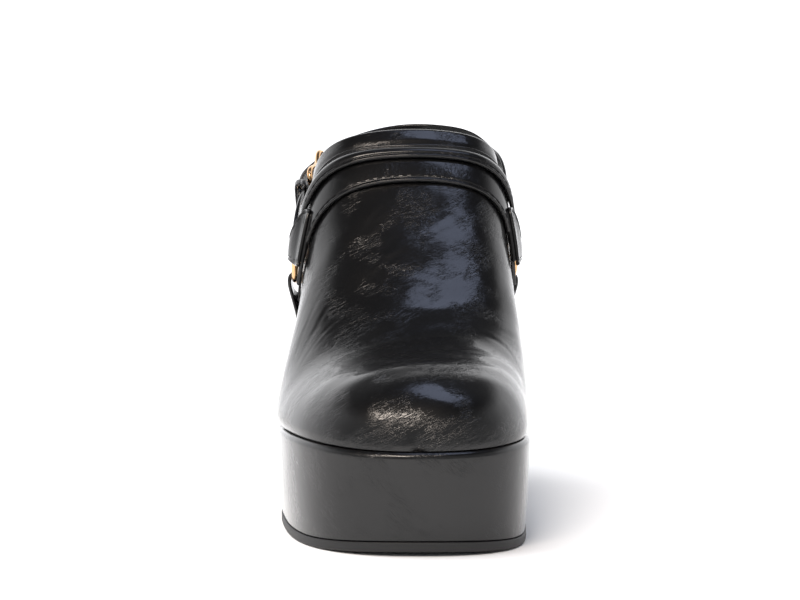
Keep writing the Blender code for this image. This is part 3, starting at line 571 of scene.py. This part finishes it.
def strip(name, grid, thickness, look, hint, stitches=None, thread=None, stitch_span=(0.0, 1.0), crown=0.0):
    """A leather strip over a grid of points on its middle surface.

    The grid is splined along and across. The section is a rounded bar: flat faces with a
    groove under each seam, half circles of half the thickness at both edges, and a soft
    crown between. hint is an outward direction at the last row.
    """
    centre = grid[:, grid.shape[1] // 2]
    length = np.concatenate([[0], np.cumsum(np.linalg.norm(np.diff(centre, axis=0), axis=1))])
    rows = max(int(length[-1] / MESH_STEP), 12)
    s = np.linspace(0, length[-1], rows)
    dense = natural(s, length, grid)
    radius = thickness / 2
    half = np.linalg.norm(np.diff(dense, axis=1), axis=-1).sum(1) / 2
    turn = np.linspace(0, np.pi / 2, 6)
    flat = np.linspace(-1, 1, 45)
    base = np.concatenate([np.full(5, -1.0), flat, np.full(5, 1.0)])
    slip = np.concatenate([-np.cos(turn[:5]), np.zeros(45), np.cos(turn[4::-1])]) * radius
    rise = np.concatenate([np.sin(turn[:5]), np.ones(45), np.sin(turn[4::-1])])
    knots = np.linspace(-1, 1, grid.shape[1])
    surface = natural(base, knots, dense.transpose(1, 0, 2)).transpose(1, 0, 2)
    fine = natural(np.clip(base + 1e-3, -1, 1), knots, dense.transpose(1, 0, 2)).transpose(1, 0, 2)
    coarse = natural(np.clip(base - 1e-3, -1, 1), knots, dense.transpose(1, 0, 2)).transpose(1, 0, 2)
    across = unit(fine - coarse)
    along = unit(np.gradient(surface, axis=0))
    normal = unit(np.cross(along, across))
    if np.dot(normal[-1, len(base) // 2], hint) < 0:
        normal = -normal
    slide = slip[None, :] - base[None, :] * radius
    inset = half[:, None] - np.abs(base[None, :] * half[:, None] + slide)
    top = rise[None, :] * radius + crown * (1 - base[None, :] ** 2)
    if stitches:
        top = top - GROOVE_DEPTH * bell(inset - stitches, GROOVE_WIDTH)
        top = top + 0.6 * GROOVE_DEPTH * bell(inset - stitches * 0.42, stitches * 0.33)
    flank = surface + across * slide[..., None]
    upper_side = flank + normal * top[..., None]
    lower_side = flank - normal * (rise * radius)[None, :, None]
    ring = np.concatenate([upper_side, lower_side[:, ::-1]], 1)
    count = ring.shape[1]
    n = len(base)
    k = np.arange(n - 1)
    cap = np.stack([k, k + 1, count - 2 - k, count - 1 - k], -1)
    faces = np.concatenate([grid_faces(rows, count, wrap=True), cap[:, ::-1], cap + (rows - 1) * count])
    points = ring.reshape(-1, 3)
    made = add_mesh(name, points, outward(points, faces), [look])
    if stitches:
        places = np.arange(length[-1] * stitch_span[0] + STITCH_PITCH, length[-1] * stitch_span[1] - STITCH_PITCH / 2,
                           STITCH_PITCH)
        sets = []
        for sign in (-1, 1):
            a = sign * (1 - stitches / half)
            column = np.clip((a + 1) / 2 * 44, 0, 43.999)
            j = column.astype(int)
            r = np.arange(rows)
            w = (column - j)[:, None]
            line = upper_side[r, 5 + j] * (1 - w) + upper_side[r, 6 + j] * w
            arc = np.concatenate([[0], np.cumsum(np.linalg.norm(np.diff(line, axis=0), axis=1))])
            scaled = places / length[-1] * arc[-1]
            spot = natural(scaled, arc, line)
            ahead = natural(scaled + 2e-4, arc, line)
            facing = natural(scaled, arc, normal[r, 5 + j])
            sets.append((spot, unit(ahead - spot), unit(facing)))
        centres, runs, facings = (np.concatenate(v) for v in zip(*sets))
        sew(name + "_stitches", centres, runs, facings, thread)
    return made


def sew(name, centres, runs, facings, thread):
    """Stitches as small flattened capsules: x = L/2 sin(p), radius = r cos(p)^0.4, half sunk in."""
    p = np.linspace(-np.pi / 2, np.pi / 2, 6)
    q = np.linspace(0, 2 * np.pi, 7)[:-1]
    x = STITCH_LENGTH / 2 * np.sin(p)[:, None] * np.ones(6)
    r = STITCH_RADIUS * np.clip(np.cos(p), 0.02, 1)[:, None] ** 0.4
    y, z = r * np.cos(q), r * np.sin(q) * 0.8
    side = np.cross(facings, runs)
    points = (centres[:, None, None] + runs[:, None, None] * x[None, ..., None]
              + side[:, None, None] * y[None, ..., None] + facings[:, None, None] * z[None, ..., None])
    one = grid_faces(6, 6, wrap=True)
    k = np.array([[0, 1, 2, 3], [3, 4, 5, 0]])
    one = np.concatenate([one, k[:, ::-1], k + 30])
    one = outward(points[0].reshape(-1, 3), one)
    faces = (one[None] + 36 * np.arange(len(centres))[:, None, None]).reshape(-1, 4)
    made = add_mesh(name, points, faces, [thread])
    return made


def build_bands(patent, thread):
    """Bands over the instep, offset from the lasted surface; the upper one steps over the lower."""
    turn = np.linspace(-1, 1, 49)[:, None]
    across = np.linspace(0, 1, 9)[None, :]
    for name, edges in BANDS.items():
        share_edges = [edges["crown"][i] + (edges["end"][i] - edges["crown"][i]) * np.abs(turn) ** BAND_SWEEP
                       for i in (0, 1)]
        angle_edges = [np.radians(90 - (90 - edges["angle"][i]) * turn) for i in (0, 1)]
        share = share_edges[0] + (share_edges[1] - share_edges[0]) * across
        angle = angle_edges[0] + (angle_edges[1] - angle_edges[0]) * across
        stand = np.full(share.shape, GAP + BAND_THICKNESS / 2)
        if name == "instep_band_upper":
            lift = 1 - ease((across - OVERLAP[0]) / (OVERLAP[1] - OVERLAP[0]))
            stand = stand + (2 * GAP + BAND_THICKNESS) * lift
        grid = on_upper(share, angle, stand)
        hint = upper_normal(share[-1, 4], angle[-1, 4])
        made = strip(name + "_leather", grid, BAND_THICKNESS, patent, hint, STITCH_INSET, thread,
                     (0.03, 0.97), crown=0.0003)
        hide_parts(name)


def ring_frame(side):
    """Centre and the back, up and outward directions of a ring; side is 1 medial, -1 lateral."""
    angle = np.radians(RING_ANGLE if side > 0 else 180 - RING_ANGLE)
    out = upper_normal(RING_SHARE, angle)
    back = unit(np.array([0, 1.0, 0]) - out * out[1])
    up = np.cross(out, back)
    up = up * np.sign(up[2])
    fold = RING_WIRE + GAP + STRAP_THICKNESS / 2
    stand = GAP + STRAP_THICKNESS / 2 + fold
    return upper_point(RING_SHARE, angle) + out * stand, back, up, out, fold


def ring_rows(side, turn, reach, height, wide, shift=0.0, tilt=0.0):
    """Rows of strap points near a ring, by distance from its centre and from its plane.

    The rows follow the ring's curve near its wire; shift and tilt move them sideways.
    """
    centre, back, up, out, _ = ring_frame(side)
    turn = np.radians(turn)
    along = back * np.cos(turn) + up * np.sin(turn)
    across = up * np.cos(turn) - back * np.sin(turn)
    across = across if across[2] > 0 or abs(across[2]) < 1e-6 else -across
    reach, height, wide = (np.asarray(v, float)[:, None] for v in np.broadcast_arrays(reach, height, wide))
    offset = wide * np.linspace(-1, 1, 5)[None, :] + np.asarray(shift, float).reshape(-1, 1)
    near = np.clip(1 - (reach - RING_RADIUS) / (1.2 * LEG_LENGTH), 0, 1)
    bow = RING_RADIUS - np.sqrt(RING_RADIUS ** 2 - np.clip(offset, -LOOP_WIDTH / 2, LOOP_WIDTH / 2) ** 2)
    reach = reach - bow * near
    height = height + offset * np.asarray(tilt, float).reshape(-1, 1)
    return centre + along * reach[..., None] + out * height[..., None] + across * offset[..., None]


def ring_fold(side, turn, leg=LEG_LENGTH):
    """Rows of a strap end that passes round the ring's wire: inner leg, then the turn."""
    fold = ring_frame(side)[4]
    bend = np.radians(np.linspace(-90, -270, 9))
    reach = np.concatenate([[RING_RADIUS + leg, RING_RADIUS + leg / 2], RING_RADIUS + fold * np.cos(bend)])
    height = np.concatenate([[-fold, -fold], fold * np.sin(bend)])
    return ring_rows(side, turn, reach, height, LOOP_WIDTH / 2)


def settle(points, side, stand, weight):
    """Points moved along the upper's normal towards a height over its surface, by a weight."""
    share = np.linspace(0.44, 0.72, 110)[:, None]
    angle = np.radians(np.linspace(0, 60, 110) if side > 0 else np.linspace(120, 180, 110))[None, :]
    surface = upper_point(share, angle).reshape(-1, 3)
    normal = upper_normal(share, angle).reshape(-1, 3)
    nearest = np.linalg.norm(points[..., None, :] - surface, axis=-1).argmin(-1)
    height = np.sum((points - surface[nearest]) * normal[nearest], -1)
    return points + normal[nearest] * ((stand - height) * weight)[..., None]


def side_name(side):
    """Which side of the foot."""
    return "medial" if side > 0 else "lateral"


def torus(name, centre, axes, major, minor, look, node):
    """A ring of round wire: (R + r cos q) in the plane of the first two axes, r sin q off it."""
    p, q = np.linspace(0, 2 * np.pi, 97)[:-1, None], np.linspace(0, 2 * np.pi, 19)[None, :-1]
    across = (major + minor * np.cos(q))[..., None]
    points = centre + across * (np.cos(p)[..., None] * axes[0] + np.sin(p)[..., None] * axes[1])
    points = points + (minor * np.sin(q))[..., None] * axes[2] * np.ones_like(p)[..., None]
    points = np.concatenate([points, points[:1]])
    faces = grid_faces(97, 18, wrap=True) % (96 * 18)
    flat = points[:-1].reshape(-1, 3)
    made = add_mesh(name, flat, outward(flat, faces), [look])
    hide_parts(node)
    return made


def build_ring_pieces(patent, gold, thread):
    """On each side the ring, the tab from the bands to it and the stay strap down to the sole."""
    for side in (-1, 1):
        name = side_name(side)
        centre, back, up, out, fold = ring_frame(side)
        torus("ring_" + name + "_wire", centre, (back, up, out), RING_RADIUS, RING_WIRE, gold, "ring_" + name)

        grow = np.linspace(0, 1, 9)[1:]
        open_out = ease(grow / TAB_SHOULDER)
        half = (LOOP_WIDTH + (TAB_WIDTH - LOOP_WIDTH) * open_out) / 2
        leg = ring_rows(side, TAB_TURN, RING_RADIUS + TAB_LENGTH * grow, fold + TAB_FLARE[name] * grow, half,
                        TAB_RISE * open_out, TAB_TILT[name] * grow)
        leg = settle(leg, side, TAB_STAND, ease(grow * 1.4)[:, None])
        grid = np.concatenate([ring_fold(side, TAB_TURN), leg])
        made = strip("ring_tab_" + name + "_leather", grid, STRAP_THICKNESS, patent, out, 0.0017, thread,
                     (0.42, 0.98), crown=0.0002)
        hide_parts("ring_tab_" + name)
        under = leg[1:] - out * (STRAP_THICKNESS / 2 + 0.0008)
        under = under + (under[:, 2:3] - under) * 0.12
        made = strip("ring_tab_" + name + "_lining", under, 0.0014, patent, out)

        rows = [ring_rows(side, STAY_TURN, [RING_RADIUS + r], fold * h, LOOP_WIDTH / 2)[0]
                for r, h in ((0.5 * LEG_LENGTH, 0.95), (LEG_LENGTH, 0.7))]
        spread = np.linspace(-1, 1, 5) * STAY_WIDTH / 2 / LENGTH
        way = np.sign((rows[0][-1] - rows[0][0])[1])
        for degrees in (6.0, 3.6, 1.3):
            angle = np.radians(degrees if side > 0 else 180 - degrees)
            rows.append(on_upper(RING_SHARE + spread * way, angle, np.full(5, GAP + STRAP_THICKNESS / 2)))
        grid = np.concatenate([ring_fold(side, STAY_TURN, 0.009), np.stack(rows)])
        made = strip("stay_strap_" + name + "_leather", grid, STRAP_THICKNESS, patent, out, 0.0017, thread,
                     (0.5, 0.95), crown=0.0002)
        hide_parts("stay_strap_" + name)


def strap_path():
    """Knots of the strap round the back, from the lateral ring to the medial one."""
    knots = []
    for side in (-1, 1):
        centre, back, up, out, fold = ring_frame(side)
        turn = np.radians(HEEL_STRAP_TURN)
        along = back * np.cos(turn) + up * np.sin(turn)
        ring_points = [centre + along * (RING_RADIUS + r) + out * fold for r in (0, 0.006)]
        way = BACK_PATH[side_name(side)]
        back_points = [np.array([side * wide * BALL_WIDTH / 2, station(share), HEEL_HEIGHT + STRAP_HEIGHT * high])
                       for share, wide, high in zip(way["share"], way["out"], way["high"])]
        knots.append(ring_points + back_points)
    last = np.array([0, station(BACK_SHARE), HEEL_HEIGHT + STRAP_HEIGHT])
    points = np.array(knots[0] + [last] + knots[1][::-1])
    length = np.concatenate([[0], np.cumsum(np.linalg.norm(np.diff(points, axis=0), axis=1))])
    return length, points


def strap_frame(s):
    """Centre, outward and across directions of the back strap at distances from the lateral ring."""
    length, points = strap_path()
    s = np.asarray(s, float)
    centre = natural(s, length, points)
    along = unit(natural(s + 1e-4, length, points) - natural(s - 1e-4, length, points))
    hub = np.array([0, station(BACK_PATH["medial"]["share"][0]), 0])
    away = (centre - hub) * np.array([1, 1, 0])
    away = unit(away)
    ends = [ring_frame(side)[3] for side in (-1, 1)]
    from_lateral = ease(1 - s / 0.024)[:, None]
    from_medial = ease(1 - (length[-1] - s) / 0.024)[:, None]
    away = away * (1 - from_lateral - from_medial) + ends[0] * from_lateral + ends[1] * from_medial
    out = unit(away - along * np.sum(away * along, -1, keepdims=True))
    across = unit(np.cross(out, along))
    return centre, out, across * np.sign(across[:, 2:3])


def strap_rows(s, height, wide, columns=5):
    """Rows across the back strap; height is outwards from its surface, wide the half width."""
    s, height, wide = (np.asarray(v, float) for v in np.broadcast_arrays(s, height, wide))
    centre, out, across = strap_frame(s)
    offset = wide[:, None] * np.linspace(-1, 1, columns)[None, :]
    return centre[:, None] + out[:, None] * height[:, None, None] + across[:, None] * offset[..., None]


def strap_point(s, height, across):
    """Points on the strap by distance along, height outwards and distance across."""
    centre, out, side = strap_frame(s)
    return centre + out * np.asarray(height)[:, None] + side * np.asarray(across)[:, None]


def strap_half(s):
    """Half width of the strap: narrow at a ring's wire."""
    near = np.minimum(s, strap_path()[0][-1] - s)
    return (LOOP_WIDTH + (STRAP_WIDTH - LOOP_WIDTH) * ease((near - 0.003) / 0.016)) / 2


def build_back_straps(patent, thread):
    """Buckle strap from the lateral ring and heel strap from the medial ring."""
    total = strap_path()[0][-1]
    bar_fold = BUCKLE_WIRE + GAP + STRAP_THICKNESS / 2
    flat_s = np.linspace(0.002, BUCKLE_PLACE, 10)
    bend = np.radians(np.linspace(60, -90, 8))
    s = np.concatenate([flat_s, BUCKLE_PLACE + bar_fold * np.cos(bend), [BUCKLE_PLACE - LEG_LENGTH]])
    height = np.concatenate([np.zeros(10), bar_fold * (np.sin(bend) - 1), [-2 * bar_fold]])
    narrow = ease((s - BUCKLE_PLACE + 0.01) / 0.007) * (STRAP_WIDTH - LOOP_WIDTH) / 2
    half = strap_half(np.minimum(s, BUCKLE_PLACE)) - np.where(height < 0, narrow[9], narrow)
    grid = np.concatenate([ring_fold(-1, HEEL_STRAP_TURN), strap_rows(s, height, half)])
    hint = -strap_frame(s[-1:])[1][0]
    made = strip("buckle_strap_leather", grid, STRAP_THICKNESS, patent, hint, 0.0017, thread, (0.36, 0.66),
                 crown=0.0001)
    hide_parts("buckle_strap")

    start = BUCKLE_PLACE - TIP_LENGTH
    s = np.concatenate([start + 0.006 * (1 - np.cos(np.linspace(0.25, np.pi / 2, 6))),
                        np.linspace(start + 0.008, total - 0.002, 60)])
    lift = 1 - ease((s - BUCKLE_PLACE - 2 * bar_fold) / (BUCKLE_LENGTH - 3 * bar_fold))
    half = strap_half(np.maximum(s, BUCKLE_PLACE))
    half = half * np.sqrt(np.clip(1 - (1 - np.clip((s - start) / 0.0065, 0, 1)) ** 2, 0.02, 1))
    rows = strap_rows(s, (STRAP_THICKNESS + GAP) * lift, half)
    grid = np.concatenate([rows, ring_fold(1, HEEL_STRAP_TURN)[::-1]])
    hint = -ring_frame(1)[3]
    made = strip("heel_strap_leather", grid, STRAP_THICKNESS, patent, hint, 0.0017, thread, (0.05, 0.93),
                 crown=0.0001)
    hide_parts("heel_strap")


def tube(name, points, radius, closed, look, node):
    """A round wire along points: a circle of the radius carried along by turned frames."""
    count = len(points)
    ahead = np.roll(points, -1, 0) - np.roll(points, 1, 0)
    if not closed:
        ahead[0], ahead[-1] = points[1] - points[0], points[-1] - points[-2]
    along = unit(ahead)
    side = unit(np.cross(along, np.array([0.3, 0.2, 1.0])))
    lift = np.cross(side, along)
    q = np.linspace(0, 2 * np.pi, 17)[:-1]
    size = np.full(count, radius)
    if not closed:
        size[[0, -1]] *= 0.55
    ring = side[:, None] * np.cos(q)[:, None] + lift[:, None] * np.sin(q)[:, None]
    rings = points[:, None] + ring * size[:, None, None]
    if closed:
        flat = rings.reshape(-1, 3)
        faces = grid_faces(count + 1, 16, wrap=True) % (count * 16)
    else:
        flat = np.concatenate([rings.reshape(-1, 3), points[:1] - along[:1] * radius * 0.4,
                               points[-1:] + along[-1:] * radius * 0.4])
        k = np.arange(16)
        tip, end = count * 16, count * 16 + 1
        first = np.stack([k, np.full(16, tip), np.full(16, tip), (k + 1) % 16], -1)
        last = np.stack([k + (count - 1) * 16, (k + 1) % 16 + (count - 1) * 16, np.full(16, end), np.full(16, end)], -1)
        faces = np.concatenate([grid_faces(count, 16, wrap=True), first, last])
    made = add_mesh(name, flat, outward(flat, faces), [look])
    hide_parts(node)
    return made


def build_buckle(gold, patent):
    """Wire frame round the strap, its prong and the keeper."""
    bar = BUCKLE_WIRE + GAP + STRAP_THICKNESS / 2
    turn = np.linspace(0, 2 * np.pi, 160, endpoint=False)
    s_half = BUCKLE_LENGTH / 2
    w_half = STRAP_WIDTH / 2 + BUCKLE_WIRE + 3 * GAP
    reach = (np.abs(np.cos(turn)) ** 5 + np.abs(np.sin(turn)) ** 5) ** -0.2
    s = BUCKLE_PLACE + s_half - s_half * reach * np.cos(turn)
    dip = bell(s - BUCKLE_PLACE - s_half, 0.009)
    height = bar * (s - BUCKLE_PLACE - s_half) / s_half - 0.0012 * dip
    w = w_half * reach * np.sin(turn) * (1 - 0.28 * dip)
    tube("buckle_frame_wire", strap_point(s, height, w), BUCKLE_WIRE * 1.15, True, gold, "buckle_frame")

    top = 1.5 * STRAP_THICKNESS + 2 * GAP + BUCKLE_WIRE
    s = np.linspace(BUCKLE_PLACE + 2 * BUCKLE_WIRE, BUCKLE_PLACE + BUCKLE_LENGTH + BUCKLE_WIRE, 40)
    rise = ease((s - s[0]) / (s[-8] - s[0]))
    height = top + (bar + 2 * BUCKLE_WIRE + GAP - top) * rise
    tube("buckle_prong_wire", strap_point(s, height, 0 * s), BUCKLE_WIRE * 0.9, False, gold, "buckle_prong")

    place = BUCKLE_PLACE - TIP_LENGTH / 2 - KEEPER_WIDTH / 2
    half = STRAP_WIDTH / 2 + GAP + STRAP_THICKNESS / 2
    low, high = -STRAP_THICKNESS - GAP, 2 * STRAP_THICKNESS + 2 * GAP
    turn = np.linspace(0, 2 * np.pi, 81)
    squared = (np.abs(np.cos(turn)) ** 8 + np.abs(np.sin(turn)) ** 8) ** -0.125
    w = half * squared * np.cos(turn)
    h = (low + high) / 2 + (high - low) / 2 * squared * np.sin(turn)
    edges = [strap_point(np.full(81, place + e), h, w) for e in np.linspace(0, KEEPER_WIDTH, 5)]
    grid = np.stack(edges, 1)
    hint = strap_frame(np.array([place]))[2][0]
    made = strip("strap_keeper_leather", grid, STRAP_THICKNESS * 0.85, patent, hint, crown=0.0001)
    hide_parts("strap_keeper")


# Materials

def linear(text):
    """Linear RGB of an sRGB hex colour."""
    values = np.array([int(text[i:i + 2], 16) for i in (0, 2, 4)]) / 255
    return tuple(np.where(values <= 0.04045, values / 12.92, ((values + 0.055) / 1.055) ** 2.4))


def add(tree, kind, inputs=None, **settings):
    """A node of a kind with its settings; each input is a value or a socket to link."""
    made = tree.nodes.new("ShaderNode" + kind)
    for name, value in settings.items():
        setattr(made, name, value)
    for name, value in (inputs or {}).items():
        if isinstance(value, bpy.types.NodeSocket):
            tree.links.new(value, made.inputs[name])
        else:
            made.inputs[name].default_value = value
    return made


def blank(name, colour, roughness, **more):
    """A material with a Principled shader; returns it, its tree and the shader."""
    look = bpy.data.materials.new(name)
    look.use_nodes = True
    tree = look.node_tree
    shader = tree.nodes["Principled BSDF"]
    shader.inputs["Base Color"].default_value = (*linear(colour), 1)
    shader.inputs["Roughness"].default_value = roughness
    for key, value in more.items():
        shader.inputs[key.replace("_", " ").title().replace("Ior", "IOR")].default_value = value
    return look, tree, shader


def millimetres(tree, turn=(0, 0, 0), scale=(1, 1, 1)):
    """Object coordinates in millimetres, turned and stretched."""
    place = add(tree, "TexCoord").outputs["Object"]
    turned = add(tree, "Mapping", {"Vector": place, "Rotation": tuple(np.radians(turn))})
    size = tuple(1000 * v for v in scale)
    return add(tree, "Mapping", {"Vector": turned.outputs["Vector"], "Scale": size}).outputs["Vector"]


def noise(tree, vector, size, detail=2.0, roughness=0.5, distortion=0.0):
    """Noise whose features are about size millimetres across."""
    return add(tree, "TexNoise", {"Vector": vector, "Scale": 1 / size, "Detail": detail,
                                  "Roughness": roughness, "Distortion": distortion}).outputs["Fac"]


def ramp(tree, value, low, high, to_low=0.0, to_high=1.0):
    """A value mapped smoothly from one range to another."""
    return add(tree, "MapRange", {"Value": value, "From Min": low, "From Max": high, "To Min": to_low,
                                  "To Max": to_high}, interpolation_type="SMOOTHSTEP").outputs["Result"]


def bump(tree, height, depth, below=None):
    """A bump of a depth in millimetres over another one."""
    inputs = {"Height": height, "Distance": depth / 1000, "Strength": 1.0}
    if below is not None:
        inputs["Normal"] = below
    return add(tree, "Bump", inputs).outputs["Normal"]


def patent_leather(name, turn, wrinkle, dents):
    """Crinkled black patent leather: dents of 9 mm that bend reflections, thin crackle lines that
    run together in patches and break them up, and a grain that softens their edges."""
    look, tree, shader = blank(name, "060607", 0.4, coat_weight=1.0, coat_roughness=0.05, coat_ior=1.43,
                               specular_ior_level=0.15)
    plain = millimetres(tree)
    hollow = bump(tree, noise(tree, plain, 9.0, 2.0), dents)
    flow = millimetres(tree, turn, (0.16, 0.4, 1.0))
    patches = ramp(tree, noise(tree, plain, 13.0, 3.0), 0.42, 0.62, 0.12, 1.0)
    below = hollow
    for size, share, distortion in ((2.2, 1.0, 0.8), (1.1, 0.5, 1.4)):
        level = noise(tree, flow, size, 3.0, 0.55, distortion)
        off = add(tree, "Math", {0: level, 1: 0.5}, operation="SUBTRACT").outputs[0]
        near = add(tree, "Math", {0: off}, operation="ABSOLUTE").outputs[0]
        line = ramp(tree, near, 0.0, 0.05, 1.0, 0.0)
        run = add(tree, "Math", {0: line, 1: patches}, operation="MULTIPLY").outputs[0]
        below = bump(tree, run, -wrinkle * share, below)
    fine = bump(tree, noise(tree, plain, 0.8, 3.0, 0.6), 0.008, below)
    for socket in ("Normal", "Coat Normal"):
        tree.links.new(fine, shader.inputs[socket])
    tree.links.new(ramp(tree, noise(tree, plain, 5.0, 3.0), 0.35, 0.7, 0.04, 0.10), shader.inputs["Coat Roughness"])
    return look


def build_looks():
    """Every material by name."""
    looks = {
        "upper": patent_leather("patent_upper", (0, 28, 0), 0.045, 0.12),
        "platform": patent_leather("patent_platform", (0, -40, 0), 0.030, 0.12),
        "strap": patent_leather("patent_strap", (0, 75, 0), 0.030, 0.07),
    }
    look, tree, shader = blank("black_rubber", "1c1c1d", 0.55)
    grain = bump(tree, noise(tree, millimetres(tree), 0.5, 3.0), 0.03)
    tree.links.new(grain, shader.inputs["Normal"])
    looks["rubber"] = look
    look, tree, shader = blank("lining_leather", "2a211d", 0.5)
    place = millimetres(tree)
    grain = bump(tree, noise(tree, place, 0.6, 4.0, 0.65), 0.04)
    tree.links.new(grain, shader.inputs["Normal"])
    tree.links.new(ramp(tree, noise(tree, place, 12.0), 0.3, 0.7, 0.42, 0.6), shader.inputs["Roughness"])
    looks["lining"] = look
    look, tree, shader = blank("pale_gold_plate", "e9bd8c", 0.2, metallic=1.0)
    grain = bump(tree, noise(tree, millimetres(tree), 1.5, 2.0), 0.01)
    tree.links.new(grain, shader.inputs["Normal"])
    looks["gold"] = look
    look, tree, shader = blank("black_thread", "0c0c0d", 0.55, specular_ior_level=0.3)
    twist = add(tree, "TexWave", {"Vector": millimetres(tree), "Scale": 0.9, "Distortion": 1.0}).outputs["Fac"]
    tree.links.new(bump(tree, twist, 0.03), shader.inputs["Normal"])
    looks["thread"] = look
    return looks


# Studio

def area_light(name, direction, distance, size, radiance, colour, target=(0, 0, 0.08), glossy=True):
    """A softbox in a direction from the shoe; its power is radiance * pi * area."""
    data = bpy.data.lights.new(name, "AREA")
    data.shape = "RECTANGLE"
    data.size, data.size_y = size
    data.energy = radiance * np.pi * size[0] * size[1]
    data.color = linear(colour)
    made = bpy.data.objects.new(name, data)
    bpy.context.scene.collection.objects.link(made)
    way = unit(np.array(direction, float))
    made.location = np.array(target) + way * distance
    down = -way
    side = unit(np.cross(down, (0, 0, 1.0)))
    top = np.cross(side, down)
    made.matrix_world = matrix_of(side, top, -down, made.location)
    made.visible_glossy = glossy
    made.visible_camera = False
    return made


def matrix_of(x, y, z, place):
    """A 4x4 matrix from axes and a place."""
    from mathutils import Matrix
    rows = np.eye(4)
    rows[:3, 0], rows[:3, 1], rows[:3, 2], rows[:3, 3] = x, y, z, place
    return Matrix(rows.tolist())


def build_world():
    """Pale sweep near the horizon, brightest behind, under a dark ceiling."""
    world = bpy.data.worlds.new("studio")
    bpy.context.scene.world = world
    world.use_nodes = True
    tree = world.node_tree
    way = add(tree, "SeparateXYZ", {"Vector": add(tree, "TexCoord").outputs["Generated"]}).outputs
    low = ramp(tree, way["Z"], 0.52, 0.80, 1.0, 0.06)
    back = ramp(tree, way["Y"], -0.5, 0.4, 0.45, 1.5)
    strength = add(tree, "Math", {0: low, 1: back}, operation="MULTIPLY").outputs[0]
    ground = tree.nodes["Background"]
    ground.inputs["Color"].default_value = (*linear("fdfdff"), 1)
    tree.links.new(strength, ground.inputs["Strength"])


def build_studio():
    """Floor, softboxes, world and camera."""
    look, tree, shader = blank("white_floor", "f4f4f4", 0.8)
    tree.links.new(bump(tree, noise(tree, millimetres(tree), 3.0), 0.02), shader.inputs["Normal"])
    points = np.array([(-2.5, -3, 0), (2.5, -3, 0), (2.5, 0.9, 0), (-2.5, 0.9, 0)])
    mesh = bpy.data.meshes.new("floor")
    mesh.from_pydata(points.tolist(), [], [(0, 1, 2, 3)])
    mesh.materials.append(look)
    mesh.shade_smooth()
    floor = bpy.data.objects.new("floor", mesh)
    bpy.context.scene.collection.objects.link(floor)

    area_light("top_box", (0.17, -0.10, 0.98), 1.3, (0.42, 0.60), 3.1, "c4d0f0")
    area_light("key_box", (-0.24, -0.68, 0.72), 1.6, (0.70, 0.30), 20.0, "fff1e4")
    area_light("floor_box", (-0.45, 0.10, 1.0), 2.2, (2.4, 2.4), 3.9, "ffffff", glossy=False)
    build_world()

    data = bpy.data.cameras.new("camera")
    data.sensor_width = 36
    data.lens = 3058.7 * 36 / 800
    camera = bpy.data.objects.new("camera", data)
    camera.location = (0.0002, -1.2478, 0.21464)
    camera.rotation_euler = (np.pi / 2 - 0.0989, 0, 0.0015)
    bpy.context.scene.collection.objects.link(camera)
    bpy.context.scene.camera = camera
    bpy.context.scene.view_settings.view_transform = "Standard"


looks = build_looks()
build_sole(looks["platform"], looks["rubber"], looks["lining"])
build_upper(looks["upper"], looks["lining"])
build_bands(looks["strap"], looks["thread"])
build_ring_pieces(looks["strap"], looks["gold"], looks["thread"])
build_back_straps(looks["strap"], looks["thread"])
build_buckle(looks["gold"], looks["strap"])
build_studio()
